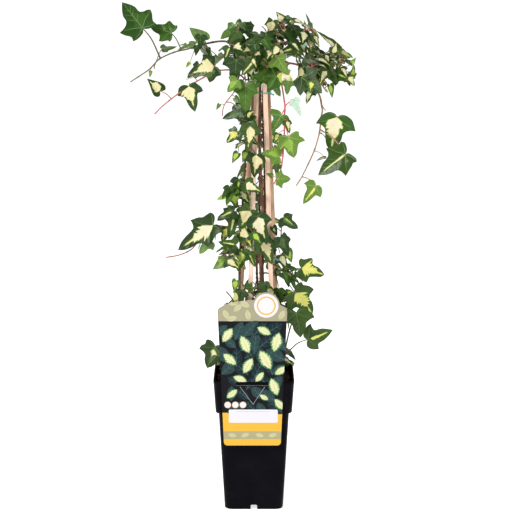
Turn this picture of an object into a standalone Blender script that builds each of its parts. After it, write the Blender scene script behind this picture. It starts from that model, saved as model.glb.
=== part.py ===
"""A goldheart ivy that climbs four thin canes in a tall square pot, with a plain hang card.

The origin is the middle of the pot's underside. X runs to the viewer's right, Y away from the
viewer and Z up. Sizes are in millimetres until a mesh is made.
"""

import math
import random

import bmesh
import bpy
from mathutils import Matrix, Vector
from mathutils.bvhtree import BVHTree
from mathutils.geometry import convex_hull_2d

MM = 0.001
UP = Vector((0.0, 0.0, 1.0))
TOWARDS_VIEWER = Vector((0.0, -1.0, 0.3)).normalized()
GAP = 0.3                    # clear space between neighbouring pieces
WELD = 0.01                  # points nearer than this are one

POT_HEIGHT = 190.0
POT_WALL = 1.8
POT_FLOOR = 8.0
FOOT_HALF = 41.0             # half the pot's width on the ground
BODY_HALF = 49.0             # half its width under the collar
COLLAR_HALF = 53.0           # half its width at the collar's lower edge
RIM_HALF = 56.0              # half its width at the rim
COLLAR_HEIGHT = 47.0
CORNER_RADIUS = 10.0
CORNER_STEPS = 3
DRAIN = (9.0, 24.0, 7.0)     # width, depth and height of the notch in each side's foot

SOIL_TOP = 178.0
SOCKET_DEPTH = 110.0

CANE_SIDE = 6.5
CANE_EDGE = 0.5
CANES = {                    # foot at the soil, then the cut top
    "cane_front_left": ((-9, -24, SOIL_TOP), (4, -8, 597)),
    "cane_front_right": ((28, -20, SOIL_TOP), (15, -8, 601)),
    "cane_back_left": ((-27, 20, SOIL_TOP), (1, 6, 591)),
    "cane_back_right": ((35, 22, SOIL_TOP), (19, 7, 594)),
}

STEM_SIDES = 5
STEM_STEP = 24.0             # length of one straight piece of a stem
STEM_FLARE = 0.2             # extra thickness of a stem at the soil
FLARE_SHARE = 0.04

CARD_THICKNESS = 0.6
CARD_FRONT = -(RIM_HALF + GAP + CARD_THICKNESS)
CARD_FOOT = 99.0
CARD_TOP = 297.0
CARD_HALVES = (39.5, 43.0, 48.0)   # half width at the foot, at the rim and at the top
CARD_CROWN = 8.0             # how far the card's top edge bows up
TAB_CENTRE = (17.0, 297.0)
TAB_RADIUS = 18.5
TONGUE_WIDTH = 40.0
TONGUE_DROP = 9.0
TONGUE_EASE = 0.8            # the wall draws in below the rim, so the tongue hangs this far off it
SLOT = (44.0, 5.0)           # width and height of the slot that the rim's edge shows in

TIE_RADIUS = 0.7

# A blade's half outline from the stalk to the tip, as across and along, in blade lengths.
OUTLINES = {
    "heart": ((0.28, -0.13), (0.40, 0.16)),
    "three": ((0.20, -0.14), (0.50, 0.14), (0.25, 0.43)),
    "five": ((0.16, -0.16), (0.44, -0.10), (0.35, 0.12), (0.64, 0.35), (0.27, 0.44)),
}
HEART = 0.2                  # where on the midrib a blade is thickest, in blade lengths
LEAF_LEAST = 0.9             # least thickness there
LEAF_SHARE = 0.025           # thickness there of a long blade, as a share of its length
LEAF_FOLD = 14.0             # how far each side lifts from flat, in degrees
ROOT_SUNK = 0.14             # how far a stalk runs into its blade, in blade lengths
STRAIGHT = 20.0              # a shorter stalk has no arch
STALK_THICK = 0.75
STALK_THIN = 0.55
TWIG_SIDES = 3
TWIG_THICK = 1.15
TWIG_THIN = 0.8
TWIG_STEP = 18.0
SHOW_LEAN = 20.0             # how far a shown leaf's stalk leans to the viewer, in degrees
ARCH = 0.22                  # how far a stalk arches up, as a share of its length
CLEAR = 0.4                  # what a leaf is swollen by while its place is tested
TRIES = 7
GOLDEN = math.radians(137.5)
LIMITS = ((-178.0, -96.0, 196.0), (137.0, 96.0, 703.0))

# Each climbing stem runs from a flat cut at the soil to its tip in the crown.
STEMS = {
    "stem_middle": (2.7, 1.6, ((8, -3, 178.3), (5, -8, 250), (10, -4, 330), (7, -6, 380),
                               (12, -5, 420), (9, -3, 480), (7, -2, 540), (8, -2, 590),
                               (6, -2, 626))),
    "stem_right": (2.3, 1.4, ((15, 6, 178.3), (17, 5, 260), (12, 6, 330), (15, 4, 400),
                              (15, 3, 480), (13, 3, 540), (13, 3, 590), (18, 6, 624))),
    "stem_left": (1.9, 1.2, ((-17, -6, 178.3), (-20, -3, 250), (-20, -2, 330), (-17, -4, 400),
                             (-13, -5, 470), (-9, -4, 540), (-7, -4, 600), (-12, -5, 624))),
    "stem_back": (1.9, 1.2, ((6, 23, 178.3), (8, 22, 260), (4, 21, 340), (8, 19, 420),
                             (8, 16, 500), (9, 15, 560), (10, 15, 620))),
}

# Each bough: the stem that bears it, the height where it leaves or None for the stem's tip,
# its thickness at both ends as radii, and the points it passes.
BOUGHS = {
    "bough_upper_left": ("stem_left", None, 1.5, 1.3, ((-26, 0, 646), (-43, 5, 651), (-64, 2, 648))),
    "bough_red_left": ("stem_left", 606, 1.2, 1.0, ((-27, -25, 613), (-44, -33, 614))),
    "bough_hanging": ("stem_middle", 612, 1.2, 1.0, ((26, -22, 612), (36, -32, 600), (41, -40, 572))),
    "bough_right": ("stem_right", None, 1.5, 1.2, ((42, 3, 647), (68, 0, 644), (86, 0, 633))),
    "bough_right_trail": ("stem_right", 612, 1.4, 1.2, ((40, 8, 622), (62, 13, 618), (76, 10, 604),
                                                        (91, 5, 574), (93, 2, 562))),
    "bough_top": ("stem_middle", None, 1.4, 1.1, ((8, -2, 640), (13, -3, 650))),
    "bough_front": ("stem_middle", 620, 1.2, 1.0, ((2, -22, 632), (-2, -36, 634))),
    "bough_back": ("stem_back", None, 1.3, 1.1, ((14, 34, 644), (16, 52, 642))),
    "bough_back_left": ("stem_back", 612, 1.2, 1.0, ((-14, 32, 628), (-36, 44, 630))),
    "bough_back_right": ("stem_back", 602, 1.2, 1.0, ((30, 34, 626), (54, 42, 632))),
}

# Each spray of foliage: the limb that bears it, the height where it leaves or None for the
# limb's tip, and the points its own stem passes. Then the twigs the rule adds, the leaves it
# adds along the stem, and the longest blade it makes. Then the leaves that the plant shows:
# share along the stem, angle and length of the stalk, angle and length of the blade (angles
# as seen from the front, 90 is up), form, and where it matters the turn about its midrib.
SPRAYS = {
    "spray_upper_left": ("bough_upper_left", None,
                         ((-72, 0, 647), (-89, -5, 641), (-107, -10, 637), (-127, -15, 628),
                          (-140, -15, 615), (-167, -10, 597)), 0, 3, 18, (
        (0.56, 120, 47, 130, 43, "five", 0), (0.30, 120, 27, 170, 28, "five", 10),
        (0.62, 65, 22, 5, 20, "three", 70), (0.05, 95, 13, 265, 19, "three"),
        (0.20, 15, 10, 265, 13, "heart"), (0.04, 320, 9, 285, 12, "heart"),
        (0.10, 245, 28, 230, 9, "heart"), (0.72, 280, 4, 260, 9, "heart"))),
    "spray_red_left": ("bough_red_left", None,
                       ((-50, -36, 613), (-61, -40, 608), (-81, -45, 597), (-103, -50, 582),
                        (-121, -50, 568), (-132, -50, 557)), 0, 2, 15, (
        (0.05, 115, 7, 195, 38, "five", 0), (0.39, 205, 4, 280, 34, "three", 10),
        (0.85, 125, 15, 125, 14, "heart"))),
    "spray_hanging": ("bough_hanging", None,
                      ((41, -44, 552), (41, -45, 534), (40, -45, 510), (36, -45, 481),
                       (27, -45, 462)), 0, 2, 15, (
        (0.08, 240, 9, 240, 27, "three"), (0.27, 290, 17, 280, 26, "five", 0),
        (0.64, 180, 6, 165, 24, "five", 0), (0.72, 205, 9, 275, 16, "three"),
        (1.00, 55, 8, 0, 18, "five"), (0.92, 150, 7, 155, 10, "heart"),
        (0.33, 210, 10, 245, 15, "three"), (0.20, 325, 5, 280, 17, "three"),
        (0.05, 35, 10, 0, 23, "three", 40))),
    "spray_right_trail": ("bough_right_trail", None,
                          ((92, 0, 548), (90, -5, 530), (82, -10, 502), (65, -10, 466),
                           (58, -10, 455)), 0, 2, 16, (
        (0.14, 10, 24, 260, 49, "three", 0), (0.27, 320, 48, 215, 46, "five", 0),
        (0.53, 330, 19, 190, 13, "heart", 60), (0.87, 330, 19, 235, 31, "three", 0))),
    "spray_right_end": ("bough_right", None, ((92, 0, 628), (113, 0, 610), (124, -3, 602)), 1, 4, 24, (
        (0.06, 40, 21, 125, 41, "five", 62), (0.31, 50, 13, 70, 15, "heart"),
        (0.31, 95, 9, 290, 15, "three"), (0.66, 65, 20, 250, 20, "three"),
        (0.73, 55, 24, 115, 11, "heart"), (0.80, 40, 22, 55, 12, "heart"),
        (0.70, 250, 5, 340, 26, "three"), (0.86, 20, 14, 305, 13, "heart"))),
    "spray_crown_right": ("bough_right", 646, ((56, -8, 658), (66, -8, 666), (74, -4, 674)), 1, 3, 26, (
        (0.90, 340, 5, 100, 20, "three", 60), (0.70, 155, 6, 145, 14, "heart"),
        (0.60, 175, 14, 280, 22, "five"), (0.10, 175, 10, 265, 17, "five"),
        (0.16, 330, 14, 200, 22, "three"), (0.65, 335, 6, 280, 14, "heart", 60),
        (0.39, 330, 21, 105, 16, "heart"))),
    "spray_crown_low_right": ("bough_right_trail", 606,
                              ((76, -6, 606), (86, -14, 600), (96, -14, 588)), 1, 3, 26, (
        (0.10, 100, 16, 265, 28, "five"), (0.05, 200, 14, 325, 36, "five", 0),
        (0.76, 60, 20, 240, 22, "three"), (0.84, 50, 20, 305, 17, "three"),
        (0.81, 200, 6, 265, 15, "heart"), (0.55, 225, 9, 265, 16, "three"),
        (0.64, 235, 18, 255, 19, "three", 0), (1.00, 35, 9, 285, 18, "heart"))),
    "spray_crown_front": ("bough_front", None, ((2, -44, 632), (10, -48, 624), (26, -50, 611)), 1, 3, 28, (
        (0.10, 70, 16, 235, 26, "five"), (0.31, 45, 12, 245, 20, "three"),
        (0.33, 205, 6, 235, 26, "three"), (0.95, 315, 10, 175, 33, "five", 0),
        (0.79, 50, 22, 300, 27, "three"), (1.00, 0, 13, 320, 20, "five", 0),
        (0.97, 330, 25, 265, 18, "three"))),
    "spray_crown_left": ("stem_left", 615, ((-24, -24, 634), (-38, -30, 636)), 1, 2, 28, (
        (0.52, 70, 9, 305, 26, "three", 0), (0.40, 235, 6, 265, 35, "three"),
        (0.80, 100, 10, 250, 20, "three"), (0.60, 85, 34, 230, 23, "three"),
        (0.16, 270, 32, 268, 47, "five", 0), (0.30, 240, 34, 215, 24, "three", 0))),
    "spray_crown_top_left": ("bough_top", 644, ((0, -12, 656), (-12, -14, 668)), 2, 2, 26, (
        (0.95, 100, 7, 300, 25, "three"), (1.00, 145, 12, 320, 14, "heart"),
        (0.50, 25, 20, 275, 23, "five", 0), (0.80, 190, 12, 235, 22, "three"))),
    "spray_crown_top": ("bough_top", None, ((20, -5, 662), (30, -2, 674)), 2, 1, 26, (
        (0.90, 115, 6, 255, 23, "five", 0), (1.00, 25, 13, 130, 16, "heart"))),
    "spray_crown_back": ("bough_back", None, ((17, 60, 640), (14, 76, 628)), 2, 3, 32, ()),
    "spray_crown_back_left": ("bough_back_left", None, ((-44, 47, 628), (-62, 54, 616)), 2, 3, 32, ()),
    "spray_crown_back_right": ("bough_back_right", None, ((62, 45, 630), (84, 52, 618)), 2, 3, 32, ()),
    "spray_column_high": ("stem_left", 510, ((-20, -20, 520), (-17, -26, 532), (-13, -28, 550)), 0, 3, 26, (
        (0.63, 190, 6, 225, 19, "five"), (0.80, 350, 11, 265, 36, "three", 0),
        (0.20, 350, 20, 265, 30, "three", 0), (0.10, 250, 20, 240, 17, "heart"),
        (0.30, 215, 22, 215, 16, "heart"), (0.95, 110, 12, 200, 24, "three"))),
    "spray_column_mid": ("stem_left", 430, ((-27, -20, 440), (-31, -24, 452), (-26, -26, 464)), 0, 4, 26, (
        (1.00, 30, 8, 260, 22, "three", 0), (0.90, 10, 19, 330, 24, "three"),
        (0.48, 125, 5, 290, 18, "five"), (0.42, 160, 16, 200, 11, "heart"),
        (0.27, 230, 15, 215, 21, "three"), (0.10, 240, 12, 255, 30, "three", 0),
        (0.20, 340, 20, 240, 29, "five", 0))),
    "spray_column_low": ("stem_left", 390, ((-18, -26, 396), (-8, -29, 402), (4, -29, 408)), 0, 2, 24, (
        (1.00, 75, 9, 290, 38, "five", 0), (0.30, 300, 16, 105, 22, "three"),
        (0.73, 305, 13, 305, 18, "heart"))),
    "spray_column_cluster": ("stem_left", 352, ((-28, -20, 358), (-34, -27, 368)), 0, 3, 22, (
        (0.98, 45, 14, 170, 22, "three"), (0.20, 60, 12, 260, 25, "five", 0),
        (0.67, 215, 10, 215, 21, "heart"), (0.40, 20, 22, 295, 19, "three"))),
    "spray_column_right": ("stem_right", 366, ((29, -1, 370), (36, -12, 376), (38, -18, 398)), 0, 4, 22, (
        (0.45, 165, 22, 290, 32, "five", 0), (0.50, 70, 9, 295, 25, "five"),
        (0.55, 320, 15, 290, 19, "heart"), (0.40, 290, 16, 295, 22, "three"),
        (0.90, 150, 14, 295, 13, "heart"), (1.00, 80, 17, 320, 24, "three"))),
    "spray_left_middle": ("stem_left", 396,
                          ((-36, -14, 399), (-52, -18, 400), (-72, -14, 386), (-85, -12, 368),
                           (-102, -16, 360), (-121, -20, 357)), 0, 3, 20, (
        (0.27, 155, 5, 215, 58, "five", 0), (0.36, 255, 12, 220, 25, "three"),
        (0.12, 200, 7, 255, 21, "three"))),
    "spray_low_right": ("stem_right", 322, ((30, 0, 328), (42, -10, 332), (56, -14, 338)), 0, 2, 24, (
        (0.85, 20, 18, 345, 34, "five", 0), (0.60, 325, 9, 280, 14, "heart"),
        (0.45, 315, 34, 310, 42, "five", 0), (0.35, 285, 20, 275, 22, "three"))),
    "spray_base_right": ("stem_right", 202, ((28, 0, 204), (40, -6, 210), (48, -8, 220)), 0, 1, 26, (
        (0.96, 80, 54, 310, 37, "three"), (0.72, 45, 47, 325, 38, "five", 0))),
    "spray_base_left": ("stem_left", 196, ((-32, -12, 202), (-44, -20, 214)), 0, 1, 22, (
        (0.90, 118, 26, 250, 35, "five", 0),)),
    "spray_foot_front": ("stem_middle", 296, ((6, -22, 300), (-2, -30, 308), (-12, -30, 318)), 0, 2, 24, (
        (1.00, 140, 17, 255, 18, "heart"), (0.70, 45, 26, 275, 21, "three"),
        (0.40, 20, 14, 280, 22, "three"), (0.90, 190, 8, 265, 22, "three"))),
    "spray_foot_left": ("stem_left", 290, ((-30, -10, 296), (-38, -16, 308)), 0, 3, 24, ()),
    "spray_foot_right": ("stem_right", 276, ((28, 0, 282), (38, -8, 292)), 0, 3, 24, ()),
    "spray_foot_back": ("stem_back", 240, ((4, 30, 250), (-2, 31, 280), (4, 30, 316)), 0, 5, 30, ()),
    "spray_back_low": ("stem_back", 330, ((6, 28, 340), (10, 29, 368), (2, 28, 398)), 0, 5, 30, ()),
    "spray_back_middle": ("stem_back", 412, ((8, 26, 422), (0, 27, 450), (4, 25, 480)), 0, 5, 30, ()),
    "spray_back_high": ("stem_back", 496, ((8, 24, 508), (14, 25, 536), (8, 24, 566)), 0, 5, 30, ()),
}


def start_scene():
    for item in list(bpy.data.objects):
        bpy.data.objects.remove(item, do_unlink=True)


def collection(name):
    made = bpy.data.collections.new(name)
    bpy.context.scene.collection.children.link(made)
    return made


def material(name, colour, roughness, metallic=0.0):
    made = bpy.data.materials.new(name)
    made.use_nodes = True
    shader = made.node_tree.nodes["Principled BSDF"]
    shader.inputs["Base Color"].default_value = (*colour, 1.0)
    shader.inputs["Roughness"].default_value = roughness
    shader.inputs["Metallic"].default_value = metallic
    return made


def finish(name, mesh, home, skin):
    mesh.name = name
    mesh.materials.clear()
    mesh.materials.append(skin)
    made = bpy.data.objects.new(name, mesh)
    home.objects.link(made)
    return made


def as_object(name, bm, home, skin):
    """Turns a sketch in millimetres into an object in metres."""
    bmesh.ops.scale(bm, vec=(MM, MM, MM), verts=bm.verts[:])
    mesh = bpy.data.meshes.new(name)
    bm.to_mesh(mesh)
    bm.free()
    return finish(name, mesh, home, skin)


def weld_caps(mesh):
    bm = bmesh.new()
    bm.from_mesh(mesh)
    bmesh.ops.remove_doubles(bm, verts=bm.verts[:], dist=WELD * MM)
    bmesh.ops.recalc_face_normals(bm, faces=bm.faces[:])
    bm.to_mesh(mesh)
    bm.free()


def baked(item, home, name, skin, tidy=weld_caps):
    """Replaces an object by the plain mesh it evaluates to, tidied."""
    bpy.context.view_layer.update()
    seen = item.evaluated_get(bpy.context.evaluated_depsgraph_get())
    mesh = bpy.data.meshes.new_from_object(seen)
    tidy(mesh)
    place = item.matrix_world.copy()
    bpy.data.objects.remove(item, do_unlink=True)
    made = finish(name, mesh, home, skin)
    made.matrix_world = place
    return made


def cut(item, cutter, operation="DIFFERENCE"):
    step = item.modifiers.new("cut", "BOOLEAN")
    step.operation = operation
    step.object = cutter
    cutter.hide_render = True
    cutter.display_type = "WIRE"


def rounded_square(half, radius, height):
    """One level of a square with round corners, run counter-clockwise."""
    points = []
    for corner in range(4):
        turn = math.radians(90 * corner)
        for step in range(CORNER_STEPS + 1):
            angle = turn + math.radians(90 * step / CORNER_STEPS)
            middle = Matrix.Rotation(turn, 3, "Z") @ Vector((half - radius, half - radius, 0))
            points.append(middle + Vector((math.cos(angle), math.sin(angle), 0)) * radius
                          + UP * height)
    return points


def loft(levels):
    """Joins rounded squares of (half width, corner radius, height) from the first to the last."""
    bm = bmesh.new()
    rings = [[bm.verts.new(point) for point in rounded_square(*level)] for level in levels]
    for low, high in zip(rings, rings[1:]):
        for k in range(len(low)):
            after = (k + 1) % len(low)
            bm.faces.new((low[k], low[after], high[after], high[k]))
    bm.faces.new(rings[0][::-1])
    bm.faces.new(rings[-1])
    return bm


def pot_width(height):
    """Half the pot's outer width below the collar."""
    share = height / (POT_HEIGHT - COLLAR_HEIGHT)
    return FOOT_HALF + (BODY_HALF - FOOT_HALF) * share


def build_pot(home, cutters, skin):
    shoulder = POT_HEIGHT - COLLAR_HEIGHT
    inside = CORNER_RADIUS - POT_WALL
    levels = (
        (FOOT_HALF - 0.8, CORNER_RADIUS, 0),
        (pot_width(1.5), CORNER_RADIUS, 1.5),
        (BODY_HALF, CORNER_RADIUS, shoulder - 1),
        (COLLAR_HALF - 0.6, CORNER_RADIUS, shoulder),
        (COLLAR_HALF, CORNER_RADIUS, shoulder + 1.2),
        (RIM_HALF, CORNER_RADIUS, POT_HEIGHT - 1),
        (RIM_HALF - 0.6, CORNER_RADIUS, POT_HEIGHT),
        (RIM_HALF - POT_WALL, inside, POT_HEIGHT),
        (COLLAR_HALF - POT_WALL, inside, shoulder + 3),
        (BODY_HALF - POT_WALL, inside, shoulder - 3),
        (pot_width(POT_FLOOR) - POT_WALL, inside, POT_FLOOR),
    )
    pot = as_object("pot", loft(levels), home, skin)
    width, depth, height = DRAIN
    for turn in range(4):
        bm = bmesh.new()
        bmesh.ops.create_cube(bm, size=1.0)
        bmesh.ops.scale(bm, vec=(width, 2 * depth, 2 * height), verts=bm.verts[:])
        bmesh.ops.translate(bm, vec=(0, -FOOT_HALF, 0), verts=bm.verts[:])
        bmesh.ops.rotate(bm, matrix=Matrix.Rotation(math.radians(90 * turn), 3, "Z"),
                         verts=bm.verts[:])
        cut(pot, as_object(f"drain_cutter_{turn}", bm, cutters, skin))
    return pot


def batten(ends, side, name, home, skin):
    """A square bar between two points, turned upright and then along its line."""
    low, high = (Vector(end) for end in ends)
    bm = bmesh.new()
    bmesh.ops.create_cube(bm, size=1.0)
    bmesh.ops.scale(bm, vec=(side, side, (high - low).length), verts=bm.verts[:])
    bmesh.ops.rotate(bm, matrix=UP.rotation_difference(high - low).to_matrix(), verts=bm.verts[:])
    bmesh.ops.translate(bm, vec=(low + high) / 2, verts=bm.verts[:])
    return as_object(name, bm, home, skin)


def cane_ends(name):
    """A cane's buried foot and its top."""
    foot, top = (Vector(end) for end in CANES[name])
    along = (foot - top).normalized()
    return foot + along * SOCKET_DEPTH, top


def build_canes(home, skin):
    for name in CANES:
        cane = batten(cane_ends(name), CANE_SIDE, name, home, skin)
        edge = cane.modifiers.new("worn edge", "BEVEL")
        edge.width = CANE_EDGE * MM
        edge.segments = 1


def build_soil(home, cutters, skin):
    shoulder = POT_HEIGHT - COLLAR_HEIGHT
    inside = CORNER_RADIUS - POT_WALL - GAP
    room = POT_WALL + GAP
    at_top = COLLAR_HALF + (RIM_HALF - COLLAR_HALF) * (SOIL_TOP - shoulder) / COLLAR_HEIGHT
    levels = (
        (pot_width(POT_FLOOR) - room, inside, POT_FLOOR + GAP),
        (BODY_HALF - room, inside, shoulder - 3),
        (COLLAR_HALF - room, inside, shoulder + 3 + GAP),
        (at_top - room - 0.4, inside, SOIL_TOP),
    )
    soil = as_object("soil", loft(levels), home, skin)
    for name in CANES:
        foot, top = cane_ends(name)
        along = (foot - top).normalized()
        hole = batten((foot + along * GAP, top), CANE_SIDE + 2 * GAP, f"socket_{name}", cutters, skin)
        cut(soil, hole)
    return soil


def smooth(points, step):
    """Points at even steps on one smooth curve through the given ones."""
    through = [Vector(point) for point in points]
    ends = [2 * through[0] - through[1], *through, 2 * through[-1] - through[-2]]
    made = []
    for a, b, c, d in zip(ends, ends[1:], ends[2:], ends[3:]):
        pieces = max(1, round((c - b).length / step))
        for piece in range(pieces):
            t = piece / pieces
            made.append(0.5 * ((2 * b) + (c - a) * t + (2 * a - 5 * b + 4 * c - d) * t * t
                               + (3 * b - a - 3 * c + d) * t ** 3))
    return [*made, through[-1]]


def shares(route):
    """How far along its length each point of a route lies, from 0 to 1."""
    walked = [0.0]
    for a, b in zip(route, route[1:]):
        walked.append(walked[-1] + (b - a).length)
    return [value / walked[-1] for value in walked]


class Limb:
    """A smooth route with a thickness at each of its points."""

    def __init__(self, points, thick, thin, step, flare=0.0):
        self.route = smooth(points, step)
        self.shares = shares(self.route)
        self.radii = [thin + (thick - thin) * (1 - share)
                      + thick * flare * max(0.0, 1 - share / FLARE_SHARE) for share in self.shares]

    def spot(self, share):
        """Where the limb is at a share of its length, where it heads, and its radius there."""
        k = next((i for i, value in enumerate(self.shares[1:]) if value >= share), len(self.route) - 2)
        a, b = self.route[k], self.route[k + 1]
        t = (share - self.shares[k]) / (self.shares[k + 1] - self.shares[k])
        radius = self.radii[k] + (self.radii[k + 1] - self.radii[k]) * t
        return a.lerp(b, t), (b - a).normalized(), radius

    def at_height(self, height):
        return min(self.shares, key=lambda share: abs(self.spot(share)[0].z - height))

    def leave(self, height, towards):
        """The first two points of what grows on: from the tip, or from the side at a height."""
        if height is None:
            place, along, _ = self.spot(1.0)
            start = place + along * GAP
            return start, start + along * 5
        place, along, radius = self.spot(self.at_height(height))
        way = Vector(towards) - place
        way = (way - along * way.dot(along)).normalized()
        start = place + way * (radius + GAP)
        return start, start + way * 4


def grown(parent, height, via, thick, thin, step):
    return Limb((*parent.leave(height, via[0]), *via), thick, thin, step)


def section(sides, guides):
    """A regular outline one millimetre in radius, which limbs are swept with."""
    curve = bpy.data.curves.new("section", "CURVE")
    spline = curve.splines.new("POLY")
    spline.points.add(sides - 1)
    for k, point in enumerate(spline.points):
        angle = math.tau * k / sides
        point.co = (MM * math.cos(angle), MM * math.sin(angle), 0, 1)
    spline.use_cyclic_u = True
    made = bpy.data.objects.new("section", curve)
    made.hide_render = True
    guides.objects.link(made)
    return made


def sweep(name, route, radii, outline, home, skin, closed=False):
    curve = bpy.data.curves.new(name, "CURVE")
    curve.dimensions = "3D"
    curve.bevel_mode = "OBJECT"
    curve.bevel_object = outline
    curve.use_fill_caps = not closed
    spline = curve.splines.new("POLY")
    spline.points.add(len(route) - 1)
    for point, place, radius in zip(spline.points, route, radii):
        point.co = (*(place * MM), 1)
        point.radius = radius
    spline.use_cyclic_u = closed
    made = bpy.data.objects.new(name, curve)
    home.objects.link(made)
    return baked(made, home, name, skin)


def build_tie(name, height, canes, outline, home, skin):
    """A wire drawn round canes at one height, just clear of them."""
    reach = CANE_SIDE / 2 + GAP + TIE_RADIUS
    corners = []
    for cane in canes:
        foot, top = (Vector(end) for end in CANES[cane])
        middle = foot.lerp(top, (height - foot.z) / (top.z - foot.z))
        for x, y in ((-1, -1), (1, -1), (1, 1), (-1, 1)):
            corners.append(Vector((middle.x + x * reach, middle.y + y * reach)))
    ring = [corners[k].to_3d() + UP * height for k in convex_hull_2d(corners)]
    return sweep(name, ring, [TIE_RADIUS] * len(ring), outline, home, skin, closed=True)


def card_outline():
    """The card from its lower left corner, counter-clockwise, with its top edge bowed."""
    foot, rim, top = CARD_HALVES
    points = [(-foot, CARD_FOOT), (foot, CARD_FOOT), (rim, POT_HEIGHT), (top - 4, CARD_TOP)]
    steps = 10
    for k in range(1, steps):
        share = k / steps
        across = (top - 4) + (-top * 2 + 2) * share
        points.append((across, CARD_TOP - 2 * share + CARD_CROWN * math.sin(math.pi * share)))
    return points + [(-top - 2, CARD_TOP - 2), (-rim - 2, POT_HEIGHT)]


def flat_piece(name, points, depth, home, skin):
    """A flat outline in the card's plane, made as thick as the card."""
    curve = bpy.data.curves.new(name, "CURVE")
    curve.dimensions = "2D"
    curve.fill_mode = "BOTH"
    curve.extrude = depth * MM / 2
    spline = curve.splines.new("POLY")
    spline.points.add(len(points) - 1)
    for point, (x, z) in zip(spline.points, points):
        point.co = (x * MM, z * MM, 0, 1)
    spline.use_cyclic_u = True
    made = bpy.data.objects.new(name, curve)
    made.rotation_euler = (math.radians(90), 0, 0)
    made.location = (0, (CARD_FRONT + CARD_THICKNESS / 2) * MM, 0)
    home.objects.link(made)
    return baked(made, home, name, skin)


def box(name, low, high, home, skin):
    bm = bmesh.new()
    bmesh.ops.create_cube(bm, size=1.0)
    low, high = Vector(low), Vector(high)
    bmesh.ops.scale(bm, vec=high - low, verts=bm.verts[:])
    bmesh.ops.translate(bm, vec=(low + high) / 2, verts=bm.verts[:])
    return as_object(name, bm, home, skin)


def build_card(home, cutters, skin):
    """The hang card stands in front of the pot, and its tongue hooks over the rim."""
    card = flat_piece("label_card", card_outline(), CARD_THICKNESS, home, skin)
    circle = [(TAB_CENTRE[0] + TAB_RADIUS * math.cos(math.tau * k / 28),
               TAB_CENTRE[1] + TAB_RADIUS * math.sin(math.tau * k / 28)) for k in range(28)]
    tab = flat_piece("card_tab", circle, CARD_THICKNESS * 0.98, cutters, skin)
    cut(card, tab, "UNION")
    width, height = SLOT
    low = POT_HEIGHT - height
    cut(card, box("card_slot", (-width / 2 - 2, CARD_FRONT - 2, low),
                  (width / 2 - 2, CARD_FRONT + 2, POT_HEIGHT + GAP), cutters, skin))
    left, right = -TONGUE_WIDTH / 2 - 2, TONGUE_WIDTH / 2 - 2
    over = POT_HEIGHT + GAP
    inner = -(RIM_HALF - POT_WALL) + GAP + TONGUE_EASE
    cut(card, box("card_tongue", (left, CARD_FRONT + CARD_THICKNESS / 3, over),
                  (right, inner + CARD_THICKNESS, over + CARD_THICKNESS), cutters, skin), "UNION")
    cut(card, box("card_hook", (left, inner, over - TONGUE_DROP),
                  (right, inner + CARD_THICKNESS, over + CARD_THICKNESS / 2), cutters, skin), "UNION")
    return card


def tube(route, radii, sides=TWIG_SIDES):
    """A tapering twig with flat ends, drawn as rings round its route."""
    bm = bmesh.new()
    rings = []
    across = None
    for k, place in enumerate(route):
        along = (route[min(k + 1, len(route) - 1)] - route[max(k - 1, 0)]).normalized()
        if across is None:
            across = along.orthogonal().normalized()
        across = (across - along * across.dot(along)).normalized()
        beside = along.cross(across)
        rings.append([bm.verts.new(place + (across * math.cos(math.tau * i / sides)
                                            + beside * math.sin(math.tau * i / sides)) * radii[k])
                      for i in range(sides)])
    for low, high in zip(rings, rings[1:]):
        for i in range(sides):
            after = (i + 1) % sides
            bm.faces.new((low[i], low[after], high[after], high[i]))
    bm.faces.new(rings[0][::-1])
    bm.faces.new(rings[-1])
    return bm


def blade(form, length, seat, way, face, swell=0.0):
    """A lobed blade, thickest on its midrib and thin at its edge, dished up to both sides."""
    thick = max(LEAF_LEAST, LEAF_SHARE * length) / 2 + swell
    fold = math.radians(LEAF_FOLD)
    across = way.cross(face)
    grow = length + 2 * swell

    def at(x, y):
        return (seat + across * (x * math.cos(fold) * grow) + way * (y * grow)
                + face * (abs(x) * math.sin(fold) * grow))

    half = OUTLINES[form]
    points = [(0, -0.02), *half, (0, 1), *((-x, y) for x, y in reversed(half))]
    bm = bmesh.new()
    edge = [bm.verts.new(at(*point)) for point in points]
    upper = bm.verts.new(at(0, HEART) + face * thick)
    lower = bm.verts.new(at(0, HEART) - face * thick)
    for a, b in zip(edge, edge[1:] + edge[:1]):
        bm.faces.new((a, b, upper))
        bm.faces.new((b, a, lower))
    bmesh.ops.recalc_face_normals(bm, faces=bm.faces[:])
    return bm


def stalk_route(foot, seat, way, length):
    """A stalk that arches from its twig and runs on into the blade."""
    reach = (seat - foot).length
    middle = foot.lerp(seat, 0.5) + UP * (ARCH * reach)
    end = seat + way * (ROOT_SUNK * length)
    if reach < STRAIGHT:
        return [foot, end]
    return [foot, middle * 0.5 + (foot + seat) * 0.25, end]


class Space:
    """What stands already, so that nothing new grows through it."""

    def __init__(self):
        self.solids = []

    def add(self, bm, owner):
        points = [vert.co.copy() for vert in bm.verts]
        middle = sum(points, Vector()) / len(points)
        size = max((point - middle).length for point in points)
        self.solids.append((owner, middle, size, BVHTree.FromBMesh(bm)))

    def is_free(self, bm, but=()):
        points = [vert.co for vert in bm.verts]
        middle = sum(points, Vector()) / len(points)
        size = max((point - middle).length for point in points)
        tree = BVHTree.FromBMesh(bm)
        return not any(owner not in but and (middle - centre).length < size + reach
                       and other.overlap(tree) for owner, centre, reach, other in self.solids)


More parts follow.
